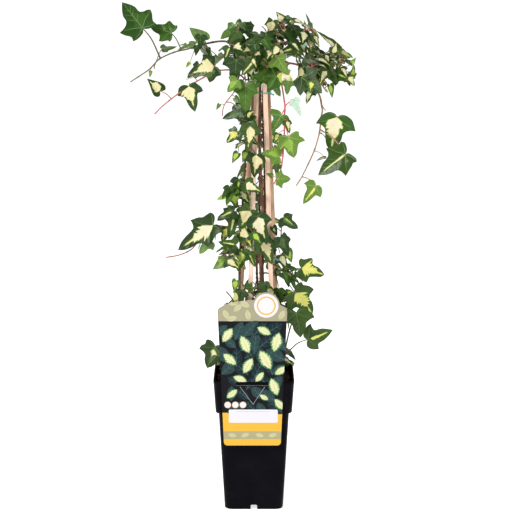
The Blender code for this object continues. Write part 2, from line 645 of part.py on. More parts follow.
class Spray:
    """One mass of foliage: its own stem, and the twigs, stalks and blades that grow on it."""

    def __init__(self, name, limbs, space):
        bearer, height, via, self.twigs, self.leaves, self.longest, self.shown = SPRAYS[name]
        self.name = name
        self.space = space
        self.chance = random.Random(name)
        self.stem = grown(limbs[bearer], height, via, TWIG_THICK, TWIG_THIN, TWIG_STEP)
        self.parts = [tube(self.stem.route, self.stem.radii)]
        space.add(self.parts[0], name + "_stem")

    def try_leaf(self, limb, owner, share, way, length, size, form, heading, face):
        """Adds a leaf where it fits, and says whether it did."""
        foot, _, _ = limb.spot(share)
        seat = foot + way * length
        face = (face - heading * face.dot(heading)).normalized()
        tip = seat + heading * size
        low, high = LIMITS
        if any(not low[k] < point[k] < high[k] for point in (seat, tip) for k in range(3)):
            return False
        radii = [STALK_THICK, (STALK_THICK + STALK_THIN) / 2, STALK_THIN]
        route = stalk_route(foot, seat, heading, size)
        swollen = tube(route, [radius + CLEAR for radius in radii[-len(route):]])
        spread = blade(form, size, seat, heading, face, CLEAR)
        fits = self.space.is_free(swollen, (owner,)) and self.space.is_free(spread)
        swollen.free()
        spread.free()
        if not fits:
            return False
        for bm in (tube(route, radii[-len(route):]), blade(form, size, seat, heading, face)):
            self.space.add(bm, self.name)
            self.parts.append(bm)
        return True

    def show(self):
        """The leaves that the plant shows, each nudged a little where its place is taken."""
        for share, stalk, length, lie, size, form, *turn in self.shown:
            turned = math.radians(turn[0] if turn else self.chance.uniform(-30, 30))
            for attempt in range(TRIES):
                lean = math.radians(SHOW_LEAN + self.chance.uniform(-6, 6) + 9 * attempt)
                angle = math.radians(stalk + self.chance.uniform(-5, 5) * attempt)
                way = Vector((math.cos(angle) * math.cos(lean), -math.sin(lean),
                              math.sin(angle) * math.cos(lean)))
                nod = math.radians(self.chance.uniform(-12, 12))
                pointing = math.radians(lie + self.chance.uniform(-4, 4) * attempt)
                heading = Vector((math.cos(pointing) * math.cos(nod), math.sin(nod),
                                  math.sin(pointing) * math.cos(nod)))
                face = Matrix.Rotation(turned, 3, heading) @ TOWARDS_VIEWER
                if self.try_leaf(self.stem, self.name + "_stem", min(share, 0.985), way, length,
                                 size, form, heading, face):
                    break

    def outward(self, place):
        """Away from the plant's middle line, level."""
        away = Vector((place.x - 8, place.y, 0))
        return away.normalized() if away.length > 4 else Vector((0, -1, 0))

    def bend(self, amount):
        return Vector(self.chance.uniform(-amount, amount) for _ in range(3))

    def fill(self):
        """The rule: twigs at even shares of the stem, and leaves turning round both."""
        bearers = [(self.stem, self.name + "_stem", self.leaves)]
        for k in range(self.twigs):
            share = (k + 0.6) / (self.twigs + 0.2)
            for attempt in range(TRIES):
                foot, along, _ = self.stem.spot(share)
                side = Matrix.Rotation(GOLDEN * (k + attempt), 3, along) @ along.orthogonal()
                way = (side.normalized() + self.outward(foot) * 0.7 + UP * 0.5
                       + self.bend(0.3)).normalized()
                length = self.chance.uniform(24, 40)
                middle = foot + way * length * 0.5 + UP * 2
                twig = Limb((foot, middle, foot + way * length), TWIG_THIN, STALK_THICK, TWIG_STEP)
                trial = tube(twig.route, [radius + CLEAR for radius in twig.radii])
                owner = f"{self.name}_twig_{k}"
                if self.space.is_free(trial, (self.name + "_stem",)):
                    self.parts.append(tube(twig.route, twig.radii))
                    self.space.add(self.parts[-1], owner)
                    bearers.append((twig, owner, 3))
                    trial.free()
                    break
                trial.free()
        for limb, owner, count in bearers:
            for k in range(count):
                self.add_by_rule(limb, owner, (k + 0.75) / (count + 0.25), k)

    def add_by_rule(self, limb, owner, share, turn):
        for attempt in range(TRIES):
            foot, along, _ = limb.spot(min(share, 0.98))
            side = Matrix.Rotation(GOLDEN * (turn + attempt), 3, along) @ along.orthogonal()
            out = self.outward(foot)
            way = (side.normalized() + out * 0.6 + UP * 0.3 + self.bend(0.25)).normalized()
            heading = (way * 0.5 + out * 0.5 - UP * self.chance.uniform(0.3, 1.1)
                       + self.bend(0.3)).normalized()
            face = out * 0.8 + UP * 0.7 + self.bend(0.35)
            size = self.longest * self.chance.uniform(0.62, 1.0) * 0.96 ** attempt
            form = self.chance.choice(("three", "three", "heart"))
            length = self.chance.uniform(0.45, 0.8) * size
            if self.try_leaf(limb, owner, share, way, length, size, form, heading, face):
                return

    def join(self, home, cutters, skin):
        """One union of the stem with everything on it, applied, with loose scraps dropped."""
        pieces = collection(self.name + "_pieces")
        stem = as_object(self.name + "_plain", self.parts[0], cutters, skin)
        for k, bm in enumerate(self.parts[1:]):
            as_object(f"{self.name}_{k}", bm, pieces, skin)
        union = stem.modifiers.new("grow together", "BOOLEAN")
        union.operation = "UNION"
        union.operand_type = "COLLECTION"
        union.collection = pieces
        union.solver = "MANIFOLD"
        baked(stem, home, self.name, skin, keep_largest)
        for item in list(pieces.objects):
            bpy.data.objects.remove(item, do_unlink=True)
        bpy.data.collections.remove(pieces)


def keep_largest(mesh):
    """Drops every loose scrap and keeps the biggest closed body."""
    bm = bmesh.new()
    bm.from_mesh(mesh)
    unseen = set(bm.verts)
    bodies = []
    while unseen:
        body, front = set(), [unseen.pop()]
        while front:
            vert = front.pop()
            body.add(vert)
            near = {edge.other_vert(vert) for edge in vert.link_edges} & unseen
            unseen -= near
            front.extend(near)
        bodies.append(body)
    for body in sorted(bodies, key=len)[:-1]:
        bmesh.ops.delete(bm, geom=list(body), context="VERTS")
    bm.to_mesh(mesh)
    bm.free()


def note_solid(item, space):
    """Adds a finished object to the space, in millimetres."""
    seen = item.evaluated_get(bpy.context.evaluated_depsgraph_get())
    bm = bmesh.new()
    bm.from_mesh(seen.to_mesh())
    bmesh.ops.transform(bm, matrix=Matrix.Scale(1 / MM, 4) @ item.matrix_world, verts=bm.verts[:])
    space.add(bm, item.name)
    bm.free()
    seen.to_mesh_clear()


def main():
    start_scene()
    home = collection("potted_goldheart_ivy")
    cutters = collection("cutters")
    guides = collection("guides")
    black = material("black_plastic", (0.012, 0.012, 0.013), 0.35)
    earth = material("potting_soil", (0.045, 0.028, 0.018), 0.95)
    pale_wood = material("cane_wood", (0.66, 0.44, 0.26), 0.65)
    bark = material("bark", (0.16, 0.085, 0.045), 0.8)
    teal = material("tie_wire", (0.02, 0.32, 0.28), 0.4)
    printed = material("card_print", (0.10, 0.16, 0.13), 0.4)
    leafy = material("ivy_foliage", (0.055, 0.16, 0.035), 0.45)

    build_pot(home, cutters, black)
    build_soil(home, cutters, earth)
    build_canes(home, pale_wood)
    build_card(home, cutters, printed)
    ring = section(STEM_SIDES, guides)
    build_tie("tie_top", 582, CANES, ring, home, teal)
    build_tie("tie_middle", 373, ("cane_front_left",), ring, home, teal)
    build_tie("tie_low", 356, ("cane_front_right",), ring, home, teal)

    limbs = {}
    for name, (thick, thin, points) in STEMS.items():
        limbs[name] = Limb(points, thick, thin, STEM_STEP, STEM_FLARE)
    for name, (bearer, height, thick, thin, via) in BOUGHS.items():
        limbs[name] = grown(limbs[bearer], height, via, thick, thin, STEM_STEP / 2)
    for name, limb in limbs.items():
        sweep(name, limb.route, limb.radii, ring, home, bark)

    space = Space()
    bpy.context.view_layer.update()
    for item in home.objects:
        note_solid(item, space)
    sprays = [Spray(name, limbs, space) for name in SPRAYS]
    for spray in sprays:
        spray.show()
    for spray in sprays:
        spray.fill()
    for spray in sprays:
        spray.join(home, cutters, leafy)
    for item in list(guides.objects):
        bpy.data.objects.remove(item, do_unlink=True)


main()
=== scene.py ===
"""The looks of a climbing ivy in a tall square pot: leaves with pale hearts, woody stems tied
to four thin canes, a plain hang card over the rim, and the soil they stand in.

Sizes are in millimetres until a mesh is made. The rule of growth is the part's own, written
again here so that every twig and leaf comes to its place, and then carried finer.
"""
import math
import random
from collections import namedtuple

import bmesh
import bpy
import numpy as np
from mathutils import Matrix, Vector
from mathutils.bvhtree import BVHTree
from mathutils.geometry import convex_hull_2d, delaunay_2d_cdt


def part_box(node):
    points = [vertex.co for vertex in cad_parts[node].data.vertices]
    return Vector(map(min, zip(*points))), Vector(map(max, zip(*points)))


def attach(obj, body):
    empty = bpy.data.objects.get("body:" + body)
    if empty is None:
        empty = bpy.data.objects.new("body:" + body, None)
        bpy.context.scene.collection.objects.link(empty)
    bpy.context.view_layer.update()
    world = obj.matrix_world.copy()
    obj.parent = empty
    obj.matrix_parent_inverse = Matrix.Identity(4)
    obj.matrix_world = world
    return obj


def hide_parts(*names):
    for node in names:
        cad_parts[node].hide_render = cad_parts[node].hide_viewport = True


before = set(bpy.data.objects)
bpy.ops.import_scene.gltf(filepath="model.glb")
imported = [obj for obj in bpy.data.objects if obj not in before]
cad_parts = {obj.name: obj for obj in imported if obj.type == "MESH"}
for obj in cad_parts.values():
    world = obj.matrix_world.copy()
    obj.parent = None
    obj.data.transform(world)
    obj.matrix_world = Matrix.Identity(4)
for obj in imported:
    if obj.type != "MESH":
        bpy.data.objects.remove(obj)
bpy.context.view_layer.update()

MM = 0.001
UP = Vector((0.0, 0.0, 1.0))
TOWARDS_VIEWER = Vector((0.0, -1.0, 0.3)).normalized()
GAP = 0.3
BODY = "root"

# The camera: where it stands, how far it looks down, and its lens on a 36 mm sensor
CAMERA_PLACE = (3.0, -2000.0, 726.0)
CAMERA_DOWN = 10.5
CAMERA_LENS = 102.8

# The light of the sky round the studio, and the floor's own glow, which keeps it white
SKY_STRENGTH = 0.42
FLOOR_GLOW = 0.72

# Each light's place and aim in metres, its width and height, its power in watts and its colour
LIGHTS = {
    "key": ((-1.1, -1.7, 1.8), (0, 0, 0.45), 0.55, 0.55, 47, (1.0, 0.985, 0.96)),
    "fill": ((1.7, -1.3, 1.1), (0, 0, 0.4), 1.0, 1.4, 10, (0.96, 0.98, 1.0)),
    "rim": ((0.6, 1.8, 1.7), (0, 0, 0.5), 1.2, 1.2, 6, (1.0, 1.0, 1.0)),
}

# The pot, as the part has it
POT_HEIGHT = 190.0
POT_WALL = 1.8
POT_FLOOR = 8.0
FOOT_HALF = 41.0
BODY_HALF = 49.0
COLLAR_HALF = 53.0
RIM_HALF = 56.0
COLLAR_HEIGHT = 47.0
CORNER_RADIUS = 10.0
CORNER_STEPS = 9
DRAIN = (9.0, 24.0, 7.0)
SOIL_TOP = 178.0
# What lies strewn on the soil: how densely, a square metre, its size, flatness and seed
CRUMBS = {
    "bark_chip": (16000.0, 3.4, (1.0, 0.55, 0.3), 7),
    "peat_crumb": (90000.0, 1.5, (1.0, 0.8, 0.7), 3),
}

# The canes and their ties
CANE_SIDE = 6.5
CANES = {
    "cane_front_left": ((-9, -24, SOIL_TOP), (4, -8, 597)),
    "cane_front_right": ((28, -20, SOIL_TOP), (15, -8, 601)),
    "cane_back_left": ((-27, 20, SOIL_TOP), (1, 6, 591)),
    "cane_back_right": ((35, 22, SOIL_TOP), (19, 7, 594)),
}
TIES = {
    "tie_top": (582, tuple(CANES)),
    "tie_middle": (373, ("cane_front_left",)),
    "tie_low": (356, ("cane_front_right",)),
}
TIE_RADIUS = 0.7

# The hang card
CARD_THICKNESS = 0.6
CARD_FRONT = -(RIM_HALF + GAP + CARD_THICKNESS)
CARD_FOOT = 99.0
CARD_TOP = 297.0
CARD_HALVES = (39.5, 43.0, 48.0)
CARD_CROWN = 8.0
CARD_MIDDLE = -2.0           # the card hangs a little to the left
TAB_CENTRE = (17.0, 297.0)
TAB_RADIUS = 18.5
TONGUE_WIDTH = 40.0
TONGUE_DROP = 9.0
TONGUE_EASE = 0.8
SLOT = (44.0, 5.0)
CARD_BANDS = (275.5, 146.0)  # where the header ends and where the leafy field ends
# The pointed ovals printed on it: x, height, size or none, and lean in degrees
FIELD_LEAVES = (
    (-36, 256, 1.0, -35), (-12, 243, 1.15, 25), (14, 262, 0.9, 62), (31, 246, 1.2, -15),
    (-33, 222, 1.0, 48), (-8, 213, 1.05, -30), (16, 221, 1.3, 30), (37, 206, 0.85, -55),
    (-19, 194, 0.85, 70), (8, 197, 0.75, -40), (28, 183, 1.1, 20), (-30, 173, 0.8, -50),
    (14, 168, 0.6, 60), (35, 158, 0.85, 40),
)
HEADER_LEAVES = ((-38, 285, 30), (-22, 294, -50), (-29, 301, 80), (-8, 284, 10), (38, 284, -30),
                 (-12, 299, 60), (-30, 279, -75))
STRIP_LEAVES = ((-30, 113.7, 80), (-12, 113.9, -70), (8, 113.6, 75), (26, 113.8, -78))

# The rule of growth, as the part has it
STEM_STEP = 24.0
STEM_FLARE = 0.2
FLARE_SHARE = 0.04
OUTLINES = {
    "heart": ((0.28, -0.13), (0.40, 0.16)),
    "three": ((0.20, -0.14), (0.50, 0.14), (0.25, 0.43)),
    "five": ((0.16, -0.16), (0.44, -0.10), (0.35, 0.12), (0.64, 0.35), (0.27, 0.44)),
}
HEART = 0.2
LEAF_LEAST = 0.9
LEAF_SHARE = 0.025
LEAF_FOLD = 14.0
ROOT_SUNK = 0.14
STRAIGHT = 20.0
STALK_THICK = 0.75
STALK_THIN = 0.55
TWIG_SIDES = 3
TWIG_THICK = 1.15
TWIG_THIN = 0.8
TWIG_STEP = 18.0
SHOW_LEAN = 20.0
ARCH = 0.22
CLEAR = 0.4
TRIES = 7
GOLDEN = math.radians(137.5)
LIMITS = ((-182.0, -79.0, 196.0), (140.0, 96.0, 710.0))

STEMS = {
    "stem_middle": (2.7, 1.6, ((8, -3, 178.3), (5, -8, 250), (10, -4, 330), (7, -6, 380),
                               (12, -5, 420), (9, -3, 480), (7, -2, 540), (8, -2, 590),
                               (6, -2, 626))),
    "stem_right": (2.3, 1.4, ((15, 6, 178.3), (17, 5, 260), (12, 6, 330), (15, 4, 400),
                              (15, 3, 480), (13, 3, 540), (13, 3, 590), (18, 6, 624))),
    "stem_left": (1.9, 1.2, ((-17, -6, 178.3), (-20, -3, 250), (-20, -2, 330), (-17, -4, 400),
                             (-13, -5, 470), (-9, -4, 540), (-7, -4, 600), (-12, -5, 624))),
    "stem_back": (1.9, 1.2, ((6, 23, 178.3), (8, 22, 260), (4, 21, 340), (8, 19, 420),
                             (8, 16, 500), (9, 15, 560), (10, 15, 620))),
}

BOUGHS = {
    "bough_upper_left": ("stem_left", None, 1.5, 1.3, ((-26, 0, 646), (-43, 5, 651), (-64, 2, 648))),
    "bough_red_left": ("stem_left", 606, 1.2, 1.0, ((-27, -25, 613), (-44, -33, 614))),
    "bough_hanging": ("stem_middle", 612, 1.2, 1.0, ((26, -22, 612), (36, -32, 600), (41, -40, 572))),
    "bough_right": ("stem_right", None, 1.5, 1.2, ((42, 3, 647), (68, 0, 644), (86, 0, 633))),
    "bough_right_trail": ("stem_right", 612, 1.4, 1.2, ((40, 8, 622), (62, 13, 618), (76, 10, 604),
                                                        (91, 5, 574), (93, 2, 562))),
    "bough_top": ("stem_middle", None, 1.4, 1.1, ((8, -2, 640), (13, -3, 650))),
    "bough_front": ("stem_middle", 620, 1.2, 1.0, ((2, -22, 632), (-2, -36, 634))),
    "bough_back": ("stem_back", None, 1.3, 1.1, ((14, 34, 644), (16, 52, 642))),
    "bough_back_left": ("stem_back", 612, 1.2, 1.0, ((-14, 32, 628), (-36, 44, 630))),
    "bough_back_right": ("stem_back", 602, 1.2, 1.0, ((30, 34, 626), (54, 42, 632))),
}

SPRAYS = {
    "spray_upper_left": ("bough_upper_left", None,
                         ((-72, 0, 647), (-89, -5, 641), (-107, -10, 637), (-127, -15, 628),
                          (-140, -15, 615), (-167, -10, 597)), 0, 3, 18, (
        (0.56, 118, 51, 127, 43, "five", 0), (0.30, 119, 30, 162, 30, "five", 10),
        (0.62, 65, 22, 5, 20, "three", 70), (0.05, 95, 13, 265, 19, "three"),
        (0.20, 15, 10, 265, 13, "heart"), (0.04, 320, 9, 285, 12, "heart"),
        (0.10, 245, 28, 230, 9, "heart"), (0.72, 280, 4, 260, 9, "heart"))),
    "spray_red_left": ("bough_red_left", None,
                       ((-50, -36, 613), (-61, -40, 608), (-81, -45, 597), (-103, -50, 582),
                        (-121, -50, 568), (-132, -50, 557)), 0, 2, 15, (
        (0.05, 115, 7, 195, 38, "five", 0), (0.42, 215, 4, 282, 36, "three", 10),
        (0.72, 145, 19, 135, 24, "heart", 5))),
    "spray_hanging": ("bough_hanging", None,
                      ((41, -44, 552), (41, -45, 534), (40, -45, 510), (36, -45, 481),
                       (27, -45, 462)), 0, 2, 15, (
        (0.08, 240, 9, 240, 27, "three"), (0.27, 290, 17, 285, 30, "five", 0),
        (0.64, 190, 5, 165, 25, "five", 0), (0.72, 205, 9, 275, 16, "three"),
        (1.00, 55, 8, 0, 18, "five"), (0.92, 150, 7, 155, 10, "heart"),
        (0.33, 210, 10, 245, 15, "three"), (0.20, 325, 5, 280, 17, "three"),
        (0.05, 39, 16, 292, 25, "three", 25))),
    "spray_right_trail": ("bough_right_trail", None,
                          ((92, 0, 548), (90, -5, 530), (82, -10, 502), (65, -10, 466),
                           (58, -10, 455)), 0, 2, 16, (
        (0.14, 10, 24, 260, 49, "three", 0), (0.27, 318, 50, 216, 47, "five", 0),
        (0.53, 330, 19, 190, 13, "heart", 60), (0.87, 330, 24, 235, 32, "three", 0))),
    "spray_right_end": ("bough_right", None, ((92, 0, 628), (113, 0, 610), (124, -3, 602)), 1, 4, 24, (
        (0.10, 24, 24, 133, 38, "heart", 50), (0.31, 50, 13, 70, 15, "heart"),
        (0.31, 95, 9, 290, 15, "three"), (0.66, 65, 20, 250, 20, "three"),
        (0.73, 55, 24, 115, 11, "heart"), (0.80, 40, 22, 55, 12, "heart"),
        (0.70, 250, 5, 340, 26, "three"), (0.86, 20, 14, 305, 13, "heart"),
        (0.96, 12, 11, 75, 15, "three"), (0.90, 345, 9, 300, 16, "three"))),
    "spray_crown_right": ("bough_right", 646, ((56, -8, 658), (66, -8, 666), (74, -4, 674)), 1, 3, 26, (
        (0.90, 340, 5, 100, 20, "three", 60), (0.70, 155, 6, 145, 14, "heart"),
        (0.60, 175, 14, 280, 22, "five"), (0.10, 175, 10, 265, 17, "five"),
        (0.16, 330, 14, 200, 22, "three"), (0.65, 335, 6, 280, 14, "heart", 60),
        (0.39, 330, 21, 105, 16, "heart"))),
    "spray_crown_low_right": ("bough_right_trail", 606,
                              ((76, -6, 606), (86, -14, 600), (96, -14, 588)), 1, 3, 26, (
        (0.10, 100, 16, 265, 28, "five"), (0.05, 200, 14, 325, 36, "five", 0),
        (0.76, 60, 20, 240, 22, "three"), (0.84, 50, 20, 305, 17, "three"),
        (0.81, 200, 6, 265, 15, "heart"), (0.55, 225, 9, 265, 16, "three"),
        (0.64, 235, 18, 255, 19, "three", 0), (1.00, 35, 9, 285, 18, "heart"))),
    "spray_crown_front": ("bough_front", None, ((2, -44, 632), (10, -48, 624), (26, -50, 611)), 1, 3, 28, (
        (0.10, 70, 16, 235, 26, "five"), (0.31, 45, 12, 245, 20, "three"),
        (0.33, 205, 6, 235, 26, "three"), (0.95, 315, 10, 175, 33, "five", 0),
        (0.79, 50, 22, 300, 27, "three"), (1.00, 0, 13, 320, 20, "five", 0),
        (0.97, 330, 25, 265, 18, "three"))),
    "spray_crown_left": ("stem_left", 615, ((-24, -24, 634), (-38, -30, 636)), 1, 2, 28, (
        (0.52, 70, 9, 305, 26, "three", 0), (0.40, 235, 6, 265, 35, "three"),
        (0.80, 100, 10, 250, 20, "three"), (0.60, 85, 34, 230, 23, "three"),
        (0.16, 279, 32, 269, 48, "three", 0), (0.30, 262, 31, 230, 22, "three", 0))),
    "spray_crown_top_left": ("bough_top", 644, ((0, -12, 656), (-12, -14, 668)), 2, 2, 26, (
        (0.95, 100, 7, 300, 25, "three"), (1.00, 145, 12, 320, 14, "heart"),
        (0.50, 25, 20, 275, 23, "five", 0), (0.80, 190, 12, 235, 22, "three"),
        (0.95, 180, 15, 208, 25, "three"))),
    "spray_crown_top": ("bough_top", None, ((20, -5, 662), (30, -2, 674)), 2, 1, 26, (
        (0.90, 115, 6, 255, 23, "five", 0), (1.00, 25, 13, 130, 16, "heart"))),
    "spray_crown_back": ("bough_back", None, ((17, 60, 640), (14, 76, 628)), 2, 3, 32, ()),
    "spray_crown_back_left": ("bough_back_left", None, ((-44, 47, 628), (-62, 54, 616)), 2, 3, 32, ()),
    "spray_crown_back_right": ("bough_back_right", None, ((62, 45, 630), (84, 52, 618)), 2, 3, 32, ()),
    "spray_column_high": ("stem_left", 510, ((-20, -20, 520), (-17, -26, 532), (-13, -28, 550)), 0, 3, 26, (
        (0.63, 190, 6, 225, 21, "five"), (0.80, 355, 11, 264, 37, "three", 0),
        (0.20, 316, 30, 265, 32, "three", 0), (0.10, 285, 16, 250, 17, "heart"),
        (0.30, 262, 20, 235, 16, "heart"), (0.95, 110, 12, 200, 27, "three"))),
    "spray_column_mid": ("stem_left", 430, ((-27, -20, 440), (-31, -24, 452), (-26, -26, 464)), 0, 4, 26, (
        (1.00, 30, 8, 260, 25, "three", 0), (0.90, 10, 19, 330, 27, "three"),
        (0.48, 125, 5, 290, 20, "five"), (0.42, 160, 16, 200, 12, "heart"),
        (0.27, 230, 15, 215, 24, "three"), (0.10, 240, 12, 255, 34, "three", 0),
        (0.20, 340, 20, 240, 32, "five", 0), (0.15, 222, 9, 205, 25, "three"))),
    "spray_column_low": ("stem_left", 390, ((-18, -26, 396), (-8, -29, 402), (4, -29, 408)), 0, 2, 24, (
        (1.00, 75, 9, 288, 41, "three", 0), (0.30, 300, 16, 105, 25, "three"),
        (0.73, 305, 13, 305, 20, "heart"))),
    "spray_column_cluster": ("stem_left", 352, ((-28, -20, 358), (-34, -27, 368)), 0, 3, 22, (
        (0.98, 45, 14, 170, 25, "three"), (0.20, 60, 12, 260, 28, "five", 0),
        (0.67, 215, 10, 215, 24, "heart"), (0.40, 20, 22, 295, 21, "three"))),
    "spray_column_right": ("stem_right", 366, ((29, -1, 370), (36, -12, 376), (38, -18, 398)), 0, 4, 22, (
        (0.45, 165, 22, 290, 36, "five", 0), (0.50, 70, 9, 295, 28, "five"),
        (0.55, 320, 15, 290, 21, "heart"), (0.40, 290, 16, 295, 25, "three"),
        (0.90, 150, 14, 295, 15, "heart"), (1.00, 80, 17, 320, 27, "three"))),
    "spray_left_middle": ("stem_left", 396,
                          ((-36, -14, 399), (-52, -18, 400), (-72, -14, 386), (-85, -12, 368),
                           (-102, -16, 360), (-121, -20, 357)), 0, 3, 20, (
        (0.27, 160, 8, 216, 61, "five", 0), (0.36, 262, 16, 232, 25, "three", 0),
        (0.12, 200, 7, 255, 21, "three"))),
    "spray_low_right": ("stem_right", 322, ((30, 0, 328), (42, -10, 332), (56, -14, 338)), 0, 2, 24, (
        (0.85, 20, 18, 345, 34, "five", 0), (0.60, 325, 9, 280, 14, "heart"),
        (0.45, 315, 34, 310, 42, "five", 0), (0.35, 285, 20, 275, 22, "three"))),
    "spray_base_right": ("stem_right", 202, ((28, 0, 204), (40, -6, 210), (48, -8, 220)), 0, 1, 26, (
        (0.96, 38, 37, 18, 38, "three", 25), (0.72, 76, 75, 280, 36, "five", 0))),
    "spray_base_left": ("stem_left", 196, ((-32, -12, 202), (-44, -20, 214)), 0, 1, 22, (
        (0.90, 118, 26, 250, 35, "five", 0),)),
    "spray_foot_front": ("stem_middle", 296, ((6, -22, 300), (-2, -30, 308), (-12, -30, 318)), 0, 2, 24, (
        (1.00, 140, 17, 255, 18, "heart"), (0.70, 45, 26, 275, 21, "three"),
        (0.40, 20, 14, 280, 22, "three"), (0.90, 190, 8, 265, 22, "three"))),
    "spray_foot_left": ("stem_left", 290, ((-30, -10, 296), (-38, -16, 308)), 0, 3, 24, ()),
    "spray_foot_right": ("stem_right", 276, ((28, 0, 282), (38, -8, 292)), 0, 3, 24, ()),
    "spray_foot_back": ("stem_back", 240, ((4, 30, 250), (-2, 31, 280), (4, 30, 316)), 0, 5, 30, ()),
    "spray_back_low": ("stem_back", 330, ((6, 28, 340), (10, 29, 368), (2, 28, 398)), 0, 5, 30, ()),
    "spray_back_middle": ("stem_back", 412, ((8, 26, 422), (0, 27, 450), (4, 25, 480)), 0, 5, 30, ()),
    "spray_back_high": ("stem_back", 496, ((8, 24, 508), (14, 25, 536), (8, 24, 566)), 0, 5, 30, ()),
}

# How each shown leaf is coloured, in the order of its spray's list above. A + is a broad blade and
# a - a narrow one.
# Grey and silver blades are partly the leaves' own grey-green and partly painted sheen
SHOWN_TONES = {
    "spray_upper_left": "leafy+ leafy+ plain dark dark dark young young",
    "spray_red_left": "cream cream cream+",
    "spray_hanging": "fresh+ bright+ bright dark bright+ fresh lime cream silver-",
    "spray_right_trail": "soft+ veined cream bright_streak",
    "spray_right_end": "folded- cream cream cream young young dark_lime young lime cream",
    "spray_crown_right": "grey dark dark cream streak under silver",
    "spray_crown_low_right": "spot grey+ cream dark young lime cream lime",
    "spray_crown_front": "dark dark streak plain bright whole plain",
    "spray_crown_left": "cream dark streak dark plain- bright",
    "spray_crown_top_left": "dark grey cream dark plain",
    "spray_crown_top": "cream cream",
    "spray_column_high": "gold+ cream- cream lime lime dark",
    "spray_column_mid": "dark_lime cream lime young dark_lime streak cream dark_lime",
    "spray_column_low": "cream cream lime",
    "spray_column_cluster": "dark_lime lime young dark_lime",
    "spray_column_right": "cream dark lime cream spot dark_lime",
    "spray_left_middle": "flame- under gold",
    "spray_low_right": "gold dark gold dark",
    "spray_base_right": "gold_streak dark+",
    "spray_base_left": "spot+",
    "spray_foot_front": "lime dark dark_lime dark",
}

# What a rule-grown leaf may be, by where its spray stands. Its grey blades are partly grey-green leaves and
# partly painted sheen.
HIGH_TONES = ("cream", "cream", "cream", "cream", "flame", "dark", "dark", "plain", "grey", "spot",
              "folded", "dark", "flame", "fresh", "grey")
OWN_TONES = {"spray_upper_left": ("dark", "plain"), "spray_hanging": ("bright", "fresh"),
             "spray_left_middle": ("lime", "dark"), "spray_crown_back_left": ("dark", "leafy", "grey")}
LOW_TONES = ("cream", "gold", "dark", "plain", "dark", "dark", "cream", "lime", "flame", "plain")
LOW_BELOW = 420.0

# The colour of each spray's own wood
TWIG_TONES = {
    "spray_upper_left": "olive", "spray_red_left": "pink", "spray_hanging": "red",
    "spray_right_trail": "tan", "spray_right_end": "pink", "spray_crown_right": "pink",
    "spray_crown_low_right": "pink", "spray_crown_front": "pink", "spray_crown_left": "pink",
    "spray_crown_top": "pink", "spray_crown_top_left": "tan", "spray_left_middle": "pink",
    "spray_low_right": "olive", "spray_base_right": "olive", "spray_base_left": "olive",
}

# Which leaves make one piece
GROUPS = {
    "crown": ("spray_crown_right", "spray_crown_low_right", "spray_crown_front", "spray_crown_left",
              "spray_crown_top_left", "spray_crown_top"),
    "crown_back": ("spray_crown_back", "spray_crown_back_left", "spray_crown_back_right",
                   "spray_back_high"),
    "trails": ("spray_upper_left", "spray_red_left", "spray_hanging", "spray_right_trail",
               "spray_right_end"),
    "column": ("spray_column_high", "spray_column_mid", "spray_column_low", "spray_column_cluster",
               "spray_column_right", "spray_left_middle", "spray_back_middle"),
    "foot": ("spray_low_right", "spray_base_right", "spray_base_left", "spray_foot_front",
             "spray_foot_left", "spray_foot_right", "spray_foot_back", "spray_back_low"),
}

# Colours, as light: rims, hearts, edges between them, veins and undersides of the leaves
LEAF_COLOURS = {
    "rim_dark": (0.013, 0.037, 0.004), "rim_deep": (0.029, 0.065, 0.007),
    "rim_leafy": (0.013, 0.049, 0.002), "rim_green": (0.026, 0.074, 0.006),
    "rim_fresh": (0.055, 0.125, 0.014),
    # The grey and silver rims are partly the blades' own grey-green and partly painted sheen, a glossy
    # highlight put into the colour
    "rim_bright": (0.095, 0.175, 0.022), "rim_grey": (0.075, 0.125, 0.062),
    "rim_silver": (0.400, 0.530, 0.430), "rim_lime": (0.200, 0.330, 0.040),
    "rim_moss": (0.058, 0.104, 0.028),
    "heart_cream": (0.593, 0.520, 0.300), "heart_pale": (0.654, 0.590, 0.417),
    "heart_gold": (0.590, 0.570, 0.140), "heart_lime": (0.330, 0.430, 0.055),
    "edge_lime": (0.330, 0.410, 0.070), "edge_green": (0.105, 0.200, 0.026),
    "vein_faint": (0.080, 0.150, 0.045), "vein_pale": (0.125, 0.235, 0.060),
    "vein_light": (0.260, 0.390, 0.120), "vein_cream": (0.650, 0.600, 0.270),
    "under_green": (0.120, 0.205, 0.055), "under_cream": (0.560, 0.560, 0.210),
}

